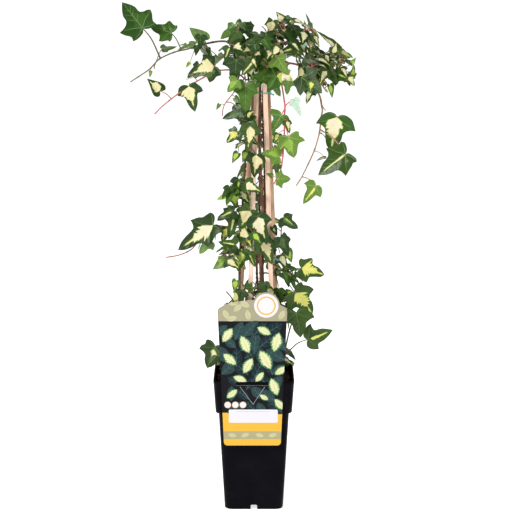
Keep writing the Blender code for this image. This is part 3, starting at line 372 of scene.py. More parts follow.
# Each tone: what its rim may be, its vein, and for a heart its colours, edge and pattern
DARK_RIMS = ("rim_dark", "rim_deep")
GREEN_RIMS = ("rim_green", "rim_fresh")
CREAMS = ("heart_cream", "heart_pale")
LIMES = ("heart_lime", "heart_gold")
Tone = namedtuple("Tone", "rims vein hearts edge pattern", defaults=((), None, None))
TONES = {
    "plain": Tone(GREEN_RIMS, "vein_pale"),
    "leafy": Tone(("rim_leafy", "rim_green"), "vein_pale"),
    "fresh": Tone(("rim_fresh",), "vein_light"),
    "dark": Tone(DARK_RIMS, "vein_faint"),
    "veined": Tone(("rim_deep",), "vein_pale", ("heart_pale",), "edge_green", "thread"),
    "bright": Tone(("rim_bright",), "vein_light"),
    "bright_streak": Tone(("rim_bright",), "vein_light", ("heart_gold",), "edge_lime", "streak"),
    "young": Tone(("rim_lime", "rim_bright"), "vein_light"),
    # Grey and silver: partly the blades' own grey-green and partly painted sheen
    "grey": Tone(("rim_grey",), "vein_light"),
    "silver": Tone(("rim_silver",), "vein_light"),
    "under": Tone(("under_green",), "vein_light"),
    "cream": Tone(DARK_RIMS, "vein_faint", CREAMS, "edge_lime", "large"),
    "soft": Tone(("rim_green",), "vein_pale", ("heart_pale",), "edge_lime", "large"),
    "flame": Tone(DARK_RIMS, "vein_faint", CREAMS, "edge_lime", "feather"),
    "folded": Tone(("rim_deep",), "vein_faint", ("heart_pale",), "edge_lime", "large"),
    "streak": Tone(("rim_deep",), "vein_faint", ("heart_cream",), "edge_lime", "streak"),
    "spot": Tone(("rim_dark",), "vein_faint", ("heart_pale",), "edge_lime", "spot"),
    "whole": Tone(("edge_lime",), "vein_cream", ("heart_pale",), "edge_lime", "whole"),
    "gold": Tone(("rim_deep",), "vein_faint", ("heart_gold",), "edge_lime", "feather"),
    "gold_streak": Tone(("rim_deep",), "vein_faint", ("heart_gold",), "edge_lime", "streak"),
    "lime": Tone(GREEN_RIMS, "vein_pale", LIMES, "edge_green", "large"),
    "dark_lime": Tone(DARK_RIMS, "vein_faint", LIMES, "edge_green", "streak"),
}
# The lighter green that a blade may carry beside its veins
PATCHES = {"rim_dark": "rim_moss", "rim_deep": "rim_dark", "rim_green": "rim_fresh",
           "rim_leafy": "rim_green", "rim_fresh": "rim_green", "rim_bright": "rim_lime",
           "rim_lime": "rim_bright", "rim_grey": "rim_moss", "rim_silver": "rim_silver",
           "under_green": "vein_pale", "edge_lime": "heart_lime"}
PATCHED = 0.6                # how many blades carry it
UNDERSIDES = {"heart": "under_cream", "heart_vein": "under_cream", "edge": "under_cream",
              "vein": "vein_light"}

# A blade's half outline from the notch at its stalk to its tip, in blade lengths. True is a point.
FORMS = {
    "heart": ((0, 0, True), (0.12, -0.11, False), (0.28, -0.14, False), (0.41, 0.04, False),
              (0.37, 0.30, False), (0.21, 0.63, False), (0, 1, True)),
    "three": ((0, 0, True), (0.10, -0.08, False), (0.27, -0.10, False), (0.43, -0.02, False),
              (0.53, 0.11, False), (0.58, 0.26, True), (0.46, 0.285, False), (0.33, 0.33, False),
              (0.265, 0.43, False), (0.235, 0.60, False), (0.15, 0.81, False), (0, 1, True)),
    "five": ((0, 0, True), (0.07, -0.09, False), (0.22, -0.15, False), (0.37, -0.165, False),
             (0.47, -0.12, True), (0.45, -0.02, False), (0.48, 0.07, False), (0.57, 0.18, False),
             (0.63, 0.34, True), (0.51, 0.365, False), (0.36, 0.40, False), (0.28, 0.50, False),
             (0.24, 0.66, False), (0.15, 0.84, False), (0, 1, True)),
}
# Where each main vein ends on the right half, then where side veins leave the midrib
VEINS = {
    "heart": ((0.34, 0.24), (0.24, -0.07)),
    "three": ((0.51, 0.23), (0.28, -0.07)),
    "five": ((0.57, 0.32), (0.41, -0.11)),
}
SIDE_VEINS = (0.30, 0.48, 0.65)
BARK_GRAIN = 0.35            # bark's pattern is drawn out along the limb

# The finer growth
FINER = (0.98, 0.70)         # the finer leaves' longest blade in each round, of the others'
INWARD = ("spray_column_high", "spray_column_mid", "spray_column_low", "spray_column_cluster",
          "spray_column_right", "spray_foot_front", "spray_crown_front", "spray_crown_left")
# Long shoots that stay nearly bare
BARE = ("spray_upper_left", "spray_red_left", "spray_hanging", "spray_right_trail", "spray_left_middle")
FINE_TWIGS = 2
FINE_LEAVES = 1
FINE_TRIES = 12
SHOW_TRIES = 22
STEPS_FORWARD = 14           # the tries after these go back instead
FORWARD = 3.5                # how much nearer a shown leaf comes at each try
LAST_SHARE = 0.985           # the furthest out that a shown leaf's stalk starts
TURN_SPREAD = 30.0           # by how many degrees a shown leaf may turn, lean and nod
LEAN_SPREAD = 6.0
NOD_SPREAD = 12.0
DOWNWARD = math.tan(math.radians(CAMERA_DOWN))
# Where the sky shows: circles over the front view, as x, height and radius at the middle plane
OPEN = (
    (-28, 690, 15), (-40, 674, 11), (11, 688, 8), (43, 701, 13), (79, 696, 19), (100, 680, 12),
    (114, 664, 8), (-62, 626, 11), (-78, 637, 11), (-95, 629, 14), (-53, 591, 11), (-39, 574, 11),
    (-41, 555, 12), (-30, 547, 11), (107, 574, 14), (124, 577, 11), (-41, 506, 16), (-27, 492, 8),
    (-53, 462, 12), (-44, 473, 11), (33, 440, 8), (38, 426, 8), (46, 384, 12), (42, 364, 11),
    (50, 398, 7), (-141, 606, 19), (-162, 588, 14), (-121, 618, 14), (-111, 637, 11),
    (-124, 574, 12), (-102, 386, 11), (-117, 338, 14), (-97, 367, 14), (-50, 307, 17),
    (-33, 313, 14), (-64, 293, 14), (63, 574, 11), (49, 555, 19), (63, 538, 16), (58, 483, 17),
    (33, 544, 11), (-5, 690, 15), (-18, 687, 11), (11, 682, 8), (22, 696, 12), (38, 688, 8),
    (58, 688, 8), (-65, 596, 13), (-77, 602, 8), (-99, 592, 8), (-109, 588, 8), (-37, 623, 11),
    (-42, 610, 8), (76, 504, 14), (84, 518, 11), (67, 515, 12), (37, 390, 11), (41, 374, 14),
    (-29, 311, 12), (88, 492, 11), (46, 371, 11), (52, 355, 10), (-55, 445, 10), (81, 677, 12),
    (94, 658, 9), (98, 643, 7), (69, 680, 7), (-58, 641, 9), (-46, 621, 8), (-54, 594, 11),
    (-117, 361, 10), (-100, 347, 13), (130, 647, 12), (57, 230, 11), (-53, 286, 12), (-43, 296, 11),
    (-31, 307, 10), (-57, 272, 9), (-34, 560, 9), (-28, 551, 8), (85, 503, 10), (81, 485, 10),
    (77, 473, 8), (-110, 604, 16), (-152, 598, 16), (-168, 600, 14), (-136, 572, 14),
    (-118, 556, 14),
)

# A thin bare shoot that hangs left of the canes: its spray and its way
SIDE_SHOOT = ("spray_crown_left", ((-11, -7, 604), (-28, -16, 582), (-40, -17, 566), (-43, -17, 551)))
# Its one leaf: where its stalk starts, the stalk's way and length, the blade's size and heading
SIDE_LEAF = (0.75, (-0.97, -0.2, 0.1), 7.0, 9.0, (-0.5, -0.1, -0.86))
# Short snags where something broke off or dried up: their limb, share, way, length and thickness
SNAGS = (
    ("bough_right_trail", 0.94, (0.5, -0.2, -0.85), 13, 1.0, "twig_tan"),
    ("spray_upper_left", 0.64, (-0.15, -0.3, -0.95), 8, 1.0, "twig_brown"),
    ("spray_red_left", 0.45, (0.1, -0.3, 0.95), 5, 0.7, "twig_pink"),
    ("bough_red_left", 0.50, (-0.6, -0.5, -0.6), 8, 0.9, "twig_pink"),
    ("spray_crown_top", 0.35, (-0.5, -0.2, 0.85), 15, 0.9, "twig_brown"),
    ("spray_crown_top", 0.80, (-0.3, -0.4, 0.85), 9, 0.8, "twig_pink"),
    ("spray_hanging", 0.55, (-0.9, -0.3, 0.3), 6, 0.7, "twig_red"),
    ("spray_left_middle", 0.62, (-0.1, -0.2, 0.97), 7, 0.7, "twig_pink"),
)
DRY_BUDS = (("bough_top", 0.35, (-0.3, -0.9, 0.3), 7), ("spray_crown_front", 0.55, (0.7, -0.6, 0.4), 6),
            ("stem_left", 0.99, (-0.5, -0.7, 0.5), 7))


class Wire:
    """An output of a node, which plain arithmetic can be written with."""

    def __init__(self, plan, socket):
        self.plan = plan
        self.socket = socket

    def math(self, operation, first, second):
        return self.plan.node("ShaderNodeMath", {"operation": operation}, {0: first, 1: second})

    def __add__(self, other):
        return self.math("ADD", self, other)

    def __radd__(self, other):
        return self.math("ADD", other, self)

    def __sub__(self, other):
        return self.math("SUBTRACT", self, other)

    def __rsub__(self, other):
        return self.math("SUBTRACT", other, self)

    def __mul__(self, other):
        return self.math("MULTIPLY", self, other)

    def __rmul__(self, other):
        return self.math("MULTIPLY", other, self)


class Plan:
    """A node tree that is drawn up a node at a time."""

    def __init__(self, tree):
        self.tree = tree

    def plug(self, value, socket):
        if isinstance(value, Wire):
            self.tree.links.new(value.socket, socket)
        elif socket.type == "RGBA":
            socket.default_value = (*value, 1.0)[:4]
        else:
            socket.default_value = value

    def node(self, kind, settings=(), sockets=(), out=0):
        made = self.tree.nodes.new(kind)
        for name, value in dict(settings).items():
            if name == "stops":
                ramp = made.color_ramp.elements
                while len(ramp) < len(value):
                    ramp.new(1.0)
                for stop, (place, colour) in zip(ramp, value):
                    stop.position = place
                    stop.color = (*colour, 1.0)
            else:
                setattr(made, name, value)
        for key, value in dict(sockets).items():
            self.plug(value, made.inputs[key])
        return Wire(self, made.outputs[out])


class Skin(Plan):
    """A material and the nodes that make its look."""

    def __init__(self, name, colour, roughness, **more):
        self.material = bpy.data.materials.new(name)
        self.material.use_nodes = True
        super().__init__(self.material.node_tree)
        self.shader = self.tree.nodes["Principled BSDF"]
        self.set("Base Color", colour)
        self.set("Roughness", roughness)
        for key, value in more.items():
            self.set(key.replace("_", " ").title().replace("Ior", "IOR"), value)

    def set(self, name, value):
        self.plug(value, self.shader.inputs[name])

    def place(self, stretch=(1.0, 1.0, 1.0), out="Object"):
        """The object's own coordinates in millimetres, or its UV map, stretched."""
        source = self.node("ShaderNodeTexCoord", out=out)
        size = 1 / MM if out == "Object" else 1.0
        return self.node("ShaderNodeMapping", sockets={
            "Vector": source, "Scale": [size * value for value in stretch]})

    def noise(self, scale, detail=3.0, where=None, rough=0.5, twist=0.0):
        return self.node("ShaderNodeTexNoise", sockets={
            "Vector": where or self.place(), "Scale": scale, "Detail": detail, "Roughness": rough,
            "Distortion": twist})

    def ramp(self, factor, *stops):
        return self.node("ShaderNodeValToRGB", {"stops": stops}, {"Fac": factor})

    def mix(self, factor, low, high):
        return self.node("ShaderNodeMix", {"data_type": "RGBA"}, {0: factor, 6: low, 7: high}, out=2)

    def span(self, value, low, high, to_low, to_high):
        return self.node("ShaderNodeMapRange", sockets={
            "Value": value, "From Min": low, "From Max": high, "To Min": to_low, "To Max": to_high})

    def bump(self, height, strength, depth):
        """Raises the surface by up to depth, in millimetres."""
        self.set("Normal", self.node("ShaderNodeBump", sockets={
            "Height": height, "Strength": strength, "Distance": depth * MM}))
        return self.material


def leaf_skin(name):
    """A waxy blade. Its colour is plain, because colour is dealt out face by face."""
    under = name.startswith("under")
    skin = Skin(name, LEAF_COLOURS[name], 0.62 if under else 0.36, specular_ior_level=0.23)
    cells = skin.noise(0.9, 2.0)
    skin.set("Roughness", skin.span(cells, 0.3, 0.7, *((0.55, 0.7) if under else (0.24, 0.42))))
    return skin.bump(skin.noise(1.6, 3.0), 0.35, 0.25)


def wood_skin(name, young, old, pale):
    """Bark that runs from a main colour to a darker one, with pale flecks along the grain."""
    skin = Skin(name, young, 0.7)
    along = skin.place((1.0, 1.0, BARK_GRAIN))
    patches = skin.noise(0.25, 4.0, along)
    flecks = skin.noise(1.5, 3.0, along, 0.7)
    base = skin.ramp(patches, (0.38, old), (0.62, young))
    skin.set("Base Color", skin.mix(skin.span(flecks, 0.56, 0.68, 0.0, 0.75), base, pale))
    skin.set("Roughness", skin.span(patches, 0.3, 0.7, 0.8, 0.55))
    return skin.bump(flecks, 0.6, 0.5)


def twig_skin(name, colour):
    """Young wood in one plain colour, with fine pores."""
    skin = Skin(name, colour, 0.5)
    return skin.bump(skin.noise(1.2, 3.0), 0.5, 0.3)


def cane_skin(name, dark, main, light):
    """Planed wood: its grain runs along the cane, with dark threads and a few stains."""
    skin = Skin(name, main, 0.6, specular_ior_level=0.3)
    fibres = skin.noise(1.0, 5.0, skin.place((420.0, 9.0, 1.0), "UV"), 0.65)
    rings = skin.noise(1.0, 2.0, skin.place((90.0, 2.2, 1.0), "UV"), 0.5, 0.6)
    stains = skin.noise(1.0, 3.0, skin.place((60.0, 14.0, 1.0), "UV"), 0.6)
    wood = skin.ramp(rings, (0.34, dark), (0.48, main), (0.66, light))
    threads = skin.mix(skin.span(fibres, 0.35, 0.50, 0.75, 0.0), wood, (0.47, 0.29, 0.17))
    skin.set("Base Color", skin.mix(skin.span(stains, 0.66, 0.76, 0.0, 0.7), threads,
                                    (0.20, 0.11, 0.06)))
    skin.set("Roughness", skin.span(fibres, 0.3, 0.7, 0.72, 0.5))
    return skin.bump(fibres, 0.5, 0.25)


def cut_wood_skin():
    skin = Skin("cane_end", (0.50, 0.32, 0.19), 0.85)
    pores = skin.noise(2.6, 3.0)
    skin.set("Base Color", skin.ramp(pores, (0.35, (0.26, 0.15, 0.08)), (0.60, (0.62, 0.42, 0.26))))
    return skin.bump(pores, 0.6, 0.4)


def pot_skin():
    """Black moulded plastic: a fine grain, faint dust, and scuffs that shine a little less."""
    skin = Skin("black_plastic", (0.003, 0.0026, 0.0042), 0.4, specular_ior_level=0.03)
    grain = skin.noise(2.2, 2.0)
    clouds = skin.noise(0.03, 5.0, None, 0.65)
    scuffs = skin.noise(0.22, 6.0, skin.place((1.0, 1.0, 0.25)), 0.75)
    dust = skin.span(clouds, 0.45, 0.75, 0.0, 0.55)
    skin.set("Base Color", skin.mix(dust, (0.0024, 0.0021, 0.0036), (0.0066, 0.0060, 0.0084)))
    skin.set("Roughness", skin.span(scuffs, 0.4, 0.68, 0.30, 0.50) + dust * 0.10)
    return skin.bump(grain * 0.6 + scuffs * 0.4, 0.25, 0.15)


def soil_skin():
    skin = Skin("potting_soil", (0.045, 0.028, 0.018), 0.96, specular_ior_level=0.15)
    lumps = skin.noise(0.45, 6.0, None, 0.7)
    fibres = skin.noise(1.6, 4.0, None, 0.6)
    skin.set("Base Color", skin.ramp(lumps, (0.34, (0.010, 0.006, 0.004)), (0.52, (0.040, 0.021, 0.012)),
                                     (0.72, (0.105, 0.052, 0.028))))
    return skin.bump(lumps * 0.6 + fibres * 0.4, 1.0, 1.2)


def chip_skin(name, dark, light):
    """A crumb of bark or peat, in one colour with its grain as relief."""
    skin = Skin(name, light, 0.92, specular_ior_level=0.2)
    grain = skin.noise(1.1, 5.0, skin.place((1.0, 0.4, 0.8)), 0.7)
    skin.set("Base Color", skin.ramp(grain, (0.35, dark), (0.65, light)))
    return skin.bump(grain, 0.9, 0.6)


def wire_skin():
    skin = Skin("tie_wire", (0.020, 0.330, 0.280), 0.34, coat_weight=0.3)
    wear = skin.noise(0.8, 3.0)
    skin.set("Base Color", skin.ramp(wear, (0.35, (0.012, 0.240, 0.205)), (0.65, (0.035, 0.390, 0.330))))
    return skin.bump(wear, 0.3, 0.1)


CARD_COLOURS = {
    "card_back": (0.70, 0.69, 0.66), "card_header": (0.300, 0.280, 0.185),
    "card_header_leaf": (0.44, 0.43, 0.25), "card_dark": (0.005, 0.005, 0.008),
    "card_shade": (0.008, 0.018, 0.022), "card_teal": (0.020, 0.044, 0.046),
    "card_green": (0.035, 0.130, 0.060), "card_pale": (0.330, 0.420, 0.170),
    "card_leaf": (0.590, 0.590, 0.350), "card_leaf_vein": (0.36, 0.42, 0.14),
    "card_ring": (0.62, 0.40, 0.13), "card_white": (0.62, 0.61, 0.68),
    "card_yellow": (0.67, 0.38, 0.045), "card_strip": (0.34, 0.31, 0.17),
    "card_line": (0.30, 0.31, 0.33), "card_vein": (0.055, 0.110, 0.115),
}


def card_skin(name):
    """Laminated card: plain print under a smooth coat, with the board's faint tooth."""
    skin = Skin(name, CARD_COLOURS[name], 0.5, specular_ior_level=0.1)
    return skin.bump(skin.noise(1.3, 2.0), 0.15, 0.1)


# Each bark's main colour, its old patches and its pale flecks
BARK_COLOURS = {
    "old_bark": ((0.150, 0.072, 0.032), (0.050, 0.024, 0.012), (0.36, 0.21, 0.11)),
    "dark_bark": ((0.085, 0.038, 0.017), (0.012, 0.007, 0.005), (0.34, 0.15, 0.06)),
    "rust_bark": ((0.260, 0.115, 0.045), (0.110, 0.045, 0.020), (0.45, 0.27, 0.14)),
    "olive_bark": ((0.085, 0.070, 0.030), (0.035, 0.028, 0.014), (0.24, 0.17, 0.08)),
    "pink_bark": ((0.330, 0.120, 0.085), (0.190, 0.060, 0.040), (0.42, 0.22, 0.15)),
    "red_bark": ((0.480, 0.075, 0.070), (0.330, 0.050, 0.045), (0.55, 0.17, 0.14)),
    "tan_bark": ((0.400, 0.200, 0.110), (0.250, 0.105, 0.060), (0.55, 0.36, 0.22)),
}
TWIG_COLOURS = {
    "twig_olive": (0.090, 0.085, 0.030),
    "twig_pink": (0.330, 0.110, 0.085),
    "twig_red": (0.480, 0.070, 0.070),
    "twig_tan": (0.360, 0.200, 0.110),
    "twig_brown": (0.120, 0.070, 0.035),
    "twig_rust": (0.430, 0.150, 0.035),
    "rootlet": (0.150, 0.085, 0.045),
}

SKINS = {
    **{name: leaf_skin(name) for name in LEAF_COLOURS},
    **{name: card_skin(name) for name in CARD_COLOURS},
    **{name: wood_skin(name, *colours) for name, colours in BARK_COLOURS.items()},
    **{name: twig_skin(name, colour) for name, colour in TWIG_COLOURS.items()},
    "cane_wood": cane_skin("cane_wood", (0.60, 0.39, 0.265), (0.77, 0.53, 0.40), (0.83, 0.64, 0.51)),
    # A darker copy of the cane wood for the back canes: painted shade, for they stand behind the front ones
    "cane_aged": cane_skin("cane_aged", (0.42, 0.25, 0.15), (0.62, 0.41, 0.27), (0.72, 0.52, 0.38)),
    "cane_end": cut_wood_skin(),
    "black_plastic": pot_skin(),
    "potting_soil": soil_skin(),
    "bark_chip": chip_skin("bark_chip", (0.030, 0.012, 0.006), (0.150, 0.062, 0.030)),
    "peat_crumb": chip_skin("peat_crumb", (0.008, 0.005, 0.004), (0.034, 0.020, 0.013)),
    "tie_wire": wire_skin(),
}


def start_tree(name, inputs):
    """A geometry tree with named inputs, as (plan, a function that gives an input's wire)."""
    tree = bpy.data.node_groups.new(name, "GeometryNodeTree")
    tree.interface.new_socket("Geometry", in_out="INPUT", socket_type="NodeSocketGeometry")
    tree.interface.new_socket("Geometry", in_out="OUTPUT", socket_type="NodeSocketGeometry")
    for title, kind in inputs.items():
        tree.interface.new_socket(title, in_out="INPUT", socket_type="NodeSocket" + kind)
    plan = Plan(tree)
    given = tree.nodes.new("NodeGroupInput")
    return plan, lambda title: Wire(plan, given.outputs[title])


def end_tree(plan, geometry, skin):
    """Every tree ends the same way: real geometry in its material."""
    real = plan.node("GeometryNodeRealizeInstances", sockets={"Geometry": geometry})
    painted = plan.node("GeometryNodeSetMaterial", sockets={"Geometry": real, "Material": skin})
    out = plan.tree.nodes.new("NodeGroupOutput")
    plan.plug(painted, out.inputs["Geometry"])
    return plan.tree


def limb_tree():
    """Sweeps a round section along every line of a mesh, with bark raised on it."""
    plan, given = start_tree("limbs", {"Sides": "Int", "Relief": "Float", "Grain": "Float",
                                       "Skin": "Material"})
    thickness = plan.node("GeometryNodeInputNamedAttribute", {"data_type": "FLOAT"}, {"Name": "thickness"})
    lines = plan.node("GeometryNodeMeshToCurve", sockets={"Mesh": given("Geometry")})
    ring = plan.node("GeometryNodeCurvePrimitiveCircle", sockets={
        "Resolution": given("Sides"), "Radius": 1.0})
    tube = plan.node("GeometryNodeCurveToMesh", sockets={
        "Curve": lines, "Profile Curve": ring, "Scale": thickness, "Fill Caps": True})
    place = plan.node("GeometryNodeInputPosition")
    squeezed = plan.node("ShaderNodeVectorMath", {"operation": "MULTIPLY"}, {
        0: place, 1: (1.0, 1.0, 0.3)})
    grain = plan.node("ShaderNodeTexNoise", sockets={
        "Vector": squeezed, "Scale": given("Grain"), "Detail": 3.0, "Roughness": 0.6})
    height = (grain - 0.5) * given("Relief")
    outward = plan.node("GeometryNodeInputNormal")
    lift = plan.node("ShaderNodeVectorMath", {"operation": "SCALE"}, {0: outward, "Scale": height})
    raised = plan.node("GeometryNodeSetPosition", sockets={"Geometry": tube, "Offset": lift})
    return end_tree(plan, raised, given("Skin"))


def strew(plan, given, **more):
    """Points over a mesh, as a function that gives an output's wire."""
    strewn = plan.tree.nodes.new("GeometryNodeDistributePointsOnFaces")
    for key, value in {"Mesh": given("Geometry"), "Density": given("Density"),
                       "Seed": given("Seed"), **more}.items():
        plan.plug(value, strewn.inputs[key])
    return lambda title: Wire(plan, strewn.outputs[title])


def scatter_tree():
    """Strews small rough lumps over the faces of a mesh that look up far enough."""
    plan, given = start_tree("scatter", {
        "Density": "Float", "Size": "Float", "Flatness": "Vector", "Least": "Float", "Seed": "Int",
        "Skin": "Material"})
    normal = plan.node("GeometryNodeInputNormal")
    split = plan.tree.nodes.new("ShaderNodeSeparateXYZ")
    plan.plug(normal, split.inputs[0])
    upward = plan.node("FunctionNodeCompare", {"data_type": "FLOAT", "operation": "GREATER_THAN"}, {
        "A": Wire(plan, split.outputs["Z"]), "B": given("Least")})
    strewn = strew(plan, given, Selection=upward)
    lump = plan.node("GeometryNodeMeshIcoSphere", sockets={"Radius": 1.0, "Subdivisions": 2})
    flat = plan.node("GeometryNodeTransform", sockets={"Geometry": lump, "Scale": given("Flatness")})
    turn = plan.node("FunctionNodeRandomValue", {"data_type": "FLOAT_VECTOR"}, {
        "Min": (-0.5, -0.5, 0.0), "Max": (0.5, 0.5, math.tau), "Seed": given("Seed")})
    size = plan.node("FunctionNodeRandomValue", {"data_type": "FLOAT"}, {
        2: 0.45, 3: 1.0, "Seed": given("Seed")}, out=1)
    put = plan.node("GeometryNodeInstanceOnPoints", sockets={
        "Points": strewn("Points"), "Instance": flat, "Rotation": turn,
        "Scale": size * given("Size")})
    real = plan.node("GeometryNodeRealizeInstances", sockets={"Geometry": put})
    rough = plan.node("ShaderNodeTexNoise", sockets={
        "Vector": plan.node("GeometryNodeInputPosition"), "Scale": 420.0, "Detail": 2.0}, out=1)
    centred = plan.node("ShaderNodeVectorMath", {"operation": "SUBTRACT"}, {0: rough, 1: (0.5, 0.5, 0.5)})
    push = plan.node("ShaderNodeVectorMath", {"operation": "SCALE"}, {
        0: centred, "Scale": given("Size") * 1.1})
    lumpy = plan.node("GeometryNodeSetPosition", sockets={"Geometry": real, "Offset": push})
    return end_tree(plan, lumpy, given("Skin"))


def rootlet_tree():
    """Stands short thin rootlets on a stem, each pointing out of it."""
    plan, given = start_tree("rootlets", {"Density": "Float", "Length": "Float", "Seed": "Int",
                                          "Skin": "Material"})
    strewn = strew(plan, given)
    spike = plan.node("GeometryNodeMeshCone", sockets={
        "Vertices": 4, "Radius Top": 0.04, "Radius Bottom": 0.13, "Depth": 1.0})
    size = plan.node("FunctionNodeRandomValue", {"data_type": "FLOAT"}, {
        2: 0.4, 3: 1.0, "Seed": given("Seed")}, out=1)
    put = plan.node("GeometryNodeInstanceOnPoints", sockets={
        "Points": strewn("Points"), "Instance": spike,
        "Rotation": strewn("Rotation"), "Scale": size * given("Length")})
    return end_tree(plan, put, given("Skin"))


TREES = {"limbs": limb_tree(), "scatter": scatter_tree(), "rootlets": rootlet_tree()}


def grow(name, mesh, tree, **inputs):
    """The plain mesh that a tree makes of another mesh, as a finished object."""
    base = bpy.data.objects.new(name + "_base", mesh)
    bpy.context.scene.collection.objects.link(base)
    growth = base.modifiers.new("growth", "NODES")
    growth.node_group = TREES[tree]
    for item in TREES[tree].interface.items_tree:
        if item.name.lower() in inputs:
            growth[item.identifier] = inputs[item.name.lower()]
    bpy.context.view_layer.update()
    seen = base.evaluated_get(bpy.context.evaluated_depsgraph_get())
    made = bpy.data.meshes.new_from_object(seen)
    base.modifiers.remove(growth)
    bpy.data.objects.remove(base, do_unlink=True)
    made.name = name
    return show_piece(name, made)


def show_piece(name, mesh):
    made = bpy.data.objects.new(name, mesh)
    bpy.context.scene.collection.objects.link(made)
    return made


def settle(piece, slot, *nodes):
    """Hangs a finished piece on the part's body, in place of the nodes it stands for."""
    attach(piece, BODY)
    if nodes:
        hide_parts(*nodes)


def smooth(points, step):
    """Points at even steps on one smooth curve through the given ones."""
    through = [Vector(point) for point in points]
    ends = [2 * through[0] - through[1], *through, 2 * through[-1] - through[-2]]
    made = []
    for a, b, c, d in zip(ends, ends[1:], ends[2:], ends[3:]):
        pieces = max(1, round((c - b).length / step))
        for piece in range(pieces):
            t = piece / pieces
            made.append(0.5 * ((2 * b) + (c - a) * t + (2 * a - 5 * b + 4 * c - d) * t * t
                               + (3 * b - a - 3 * c + d) * t ** 3))
    return [*made, through[-1]]


def shares(route):
    """How far along its length each point of a route lies, from 0 to 1."""
    walked = [0.0]
    for a, b in zip(route, route[1:]):
        walked.append(walked[-1] + (b - a).length)
    return [value / walked[-1] for value in walked]


class Limb:
    """A smooth route with a thickness at each of its points."""

    def __init__(self, points, thick, thin, step, flare=0.0):
        self.route = smooth(points, step)
        self.thick = thick
        self.thin = thin
        self.flare = flare
        self.shares = shares(self.route)
        self.radii = [self.radius_at(share) for share in self.shares]

    def radius_at(self, share):
        return (self.thin + (self.thick - self.thin) * (1 - share)
                + self.thick * self.flare * max(0.0, 1 - share / FLARE_SHARE))

    def spot(self, share):
        """Where the limb is at a share of its length, where it heads, and its radius there."""
        k = next((i for i, value in enumerate(self.shares[1:]) if value >= share), len(self.route) - 2)
        a, b = self.route[k], self.route[k + 1]
        t = (share - self.shares[k]) / (self.shares[k + 1] - self.shares[k])
        radius = self.radii[k] + (self.radii[k + 1] - self.radii[k]) * t
        return a.lerp(b, t), (b - a).normalized(), radius

    def at_height(self, height):
        return min(self.shares, key=lambda share: abs(self.spot(share)[0].z - height))

    def leave(self, height, towards):
        """The first two points of what grows on: from the tip, or from the side at a height."""
        if height is None:
            place, along, _ = self.spot(1.0)
            start = place + along * GAP
            return start, start + along * 5
        place, along, radius = self.spot(self.at_height(height))
        way = Vector(towards) - place
        way = (way - along * way.dot(along)).normalized()
        start = place + way * (radius + GAP)
        return start, start + way * 4

    def fine(self, step):
        """The same limb at a finer step, through the same points."""
        made = Limb(self.route, self.thick, self.thin, step)
        made.flare = self.flare
        made.radii = [self.radius_at(share) for share in made.shares]
        return made


def grown(parent, height, via, thick, thin, step):
    return Limb((*parent.leave(height, via[0]), *via), thick, thin, step)


def tube(route, radii):
    """The part's own twig: a few flat sides round its route."""
    bm = bmesh.new()
    rings = []
    across = None
    for k, place in enumerate(route):
        along = (route[min(k + 1, len(route) - 1)] - route[max(k - 1, 0)]).normalized()
        if across is None:
            across = along.orthogonal().normalized()
        across = (across - along * across.dot(along)).normalized()
        beside = along.cross(across)
        rings.append([bm.verts.new(place + (across * math.cos(math.tau * i / TWIG_SIDES)
                                            + beside * math.sin(math.tau * i / TWIG_SIDES)) * radii[k])
                      for i in range(TWIG_SIDES)])
    for low, high in zip(rings, rings[1:]):
        for i in range(TWIG_SIDES):
            after = (i + 1) % TWIG_SIDES
            bm.faces.new((low[i], low[after], high[after], high[i]))
    bm.faces.new(rings[0][::-1])
    bm.faces.new(rings[-1])
    return bm


def blade(form, length, seat, way, face, swell=0.0):
    """The part's own blade, which finds a leaf its place."""
    thick = max(LEAF_LEAST, LEAF_SHARE * length) / 2 + swell
    fold = math.radians(LEAF_FOLD)
    across = way.cross(face)
    grow_to = length + 2 * swell

    def at(x, y):
        return (seat + across * (x * math.cos(fold) * grow_to) + way * (y * grow_to)
                + face * (abs(x) * math.sin(fold) * grow_to))

    half = OUTLINES[form]
    points = [(0, -0.02), *half, (0, 1), *((-x, y) for x, y in reversed(half))]
    bm = bmesh.new()
    edge = [bm.verts.new(at(*point)) for point in points]
    upper = bm.verts.new(at(0, HEART) + face * thick)
    lower = bm.verts.new(at(0, HEART) - face * thick)
    for a, b in zip(edge, edge[1:] + edge[:1]):
        bm.faces.new((a, b, upper))
        bm.faces.new((b, a, lower))
    bmesh.ops.recalc_face_normals(bm, faces=bm.faces[:])
    return bm


def stalk_route(foot, seat, way, length):
    """A stalk that arches from its twig and runs on into the blade."""
    reach = (seat - foot).length
    middle = foot.lerp(seat, 0.5) + UP * (ARCH * reach)
    end = seat + way * (ROOT_SUNK * length)
    if reach < STRAIGHT:
        return [foot, end]
    return [foot, middle * 0.5 + (foot + seat) * 0.25, end]


class Space:
    """What stands already, so that nothing new grows through it."""

    def __init__(self):
        self.solids = []

    def add(self, bm, owner):
        points = [vert.co.copy() for vert in bm.verts]
        middle = sum(points, Vector()) / len(points)
        size = max((point - middle).length for point in points)
        self.solids.append((owner, middle, size, BVHTree.FromBMesh(bm)))

    def is_free(self, bm, but=()):
        points = [vert.co for vert in bm.verts]
        middle = sum(points, Vector()) / len(points)
        size = max((point - middle).length for point in points)
        tree = BVHTree.FromBMesh(bm)
        return not any(owner not in but and (middle - centre).length < size + reach
                       and other.overlap(tree) for owner, centre, reach, other in self.solids)


Leaf = namedtuple("Leaf", "limb share foot seat heading face size form tone width name")
# How wide a blade is, as a share of its drawn outline: most, and those marked + or -
SLENDER = (0.80, 0.97)
WIDTHS = {"+": (0.96, 1.04), "-": (0.62, 0.72)}


def in_the_open(place):
    """Whether a place lies over one of the open parts of the front view."""
    height = place.z + place.y * DOWNWARD
    return any(math.hypot(place.x - x, height - z) < radius for x, z, radius in OPEN)


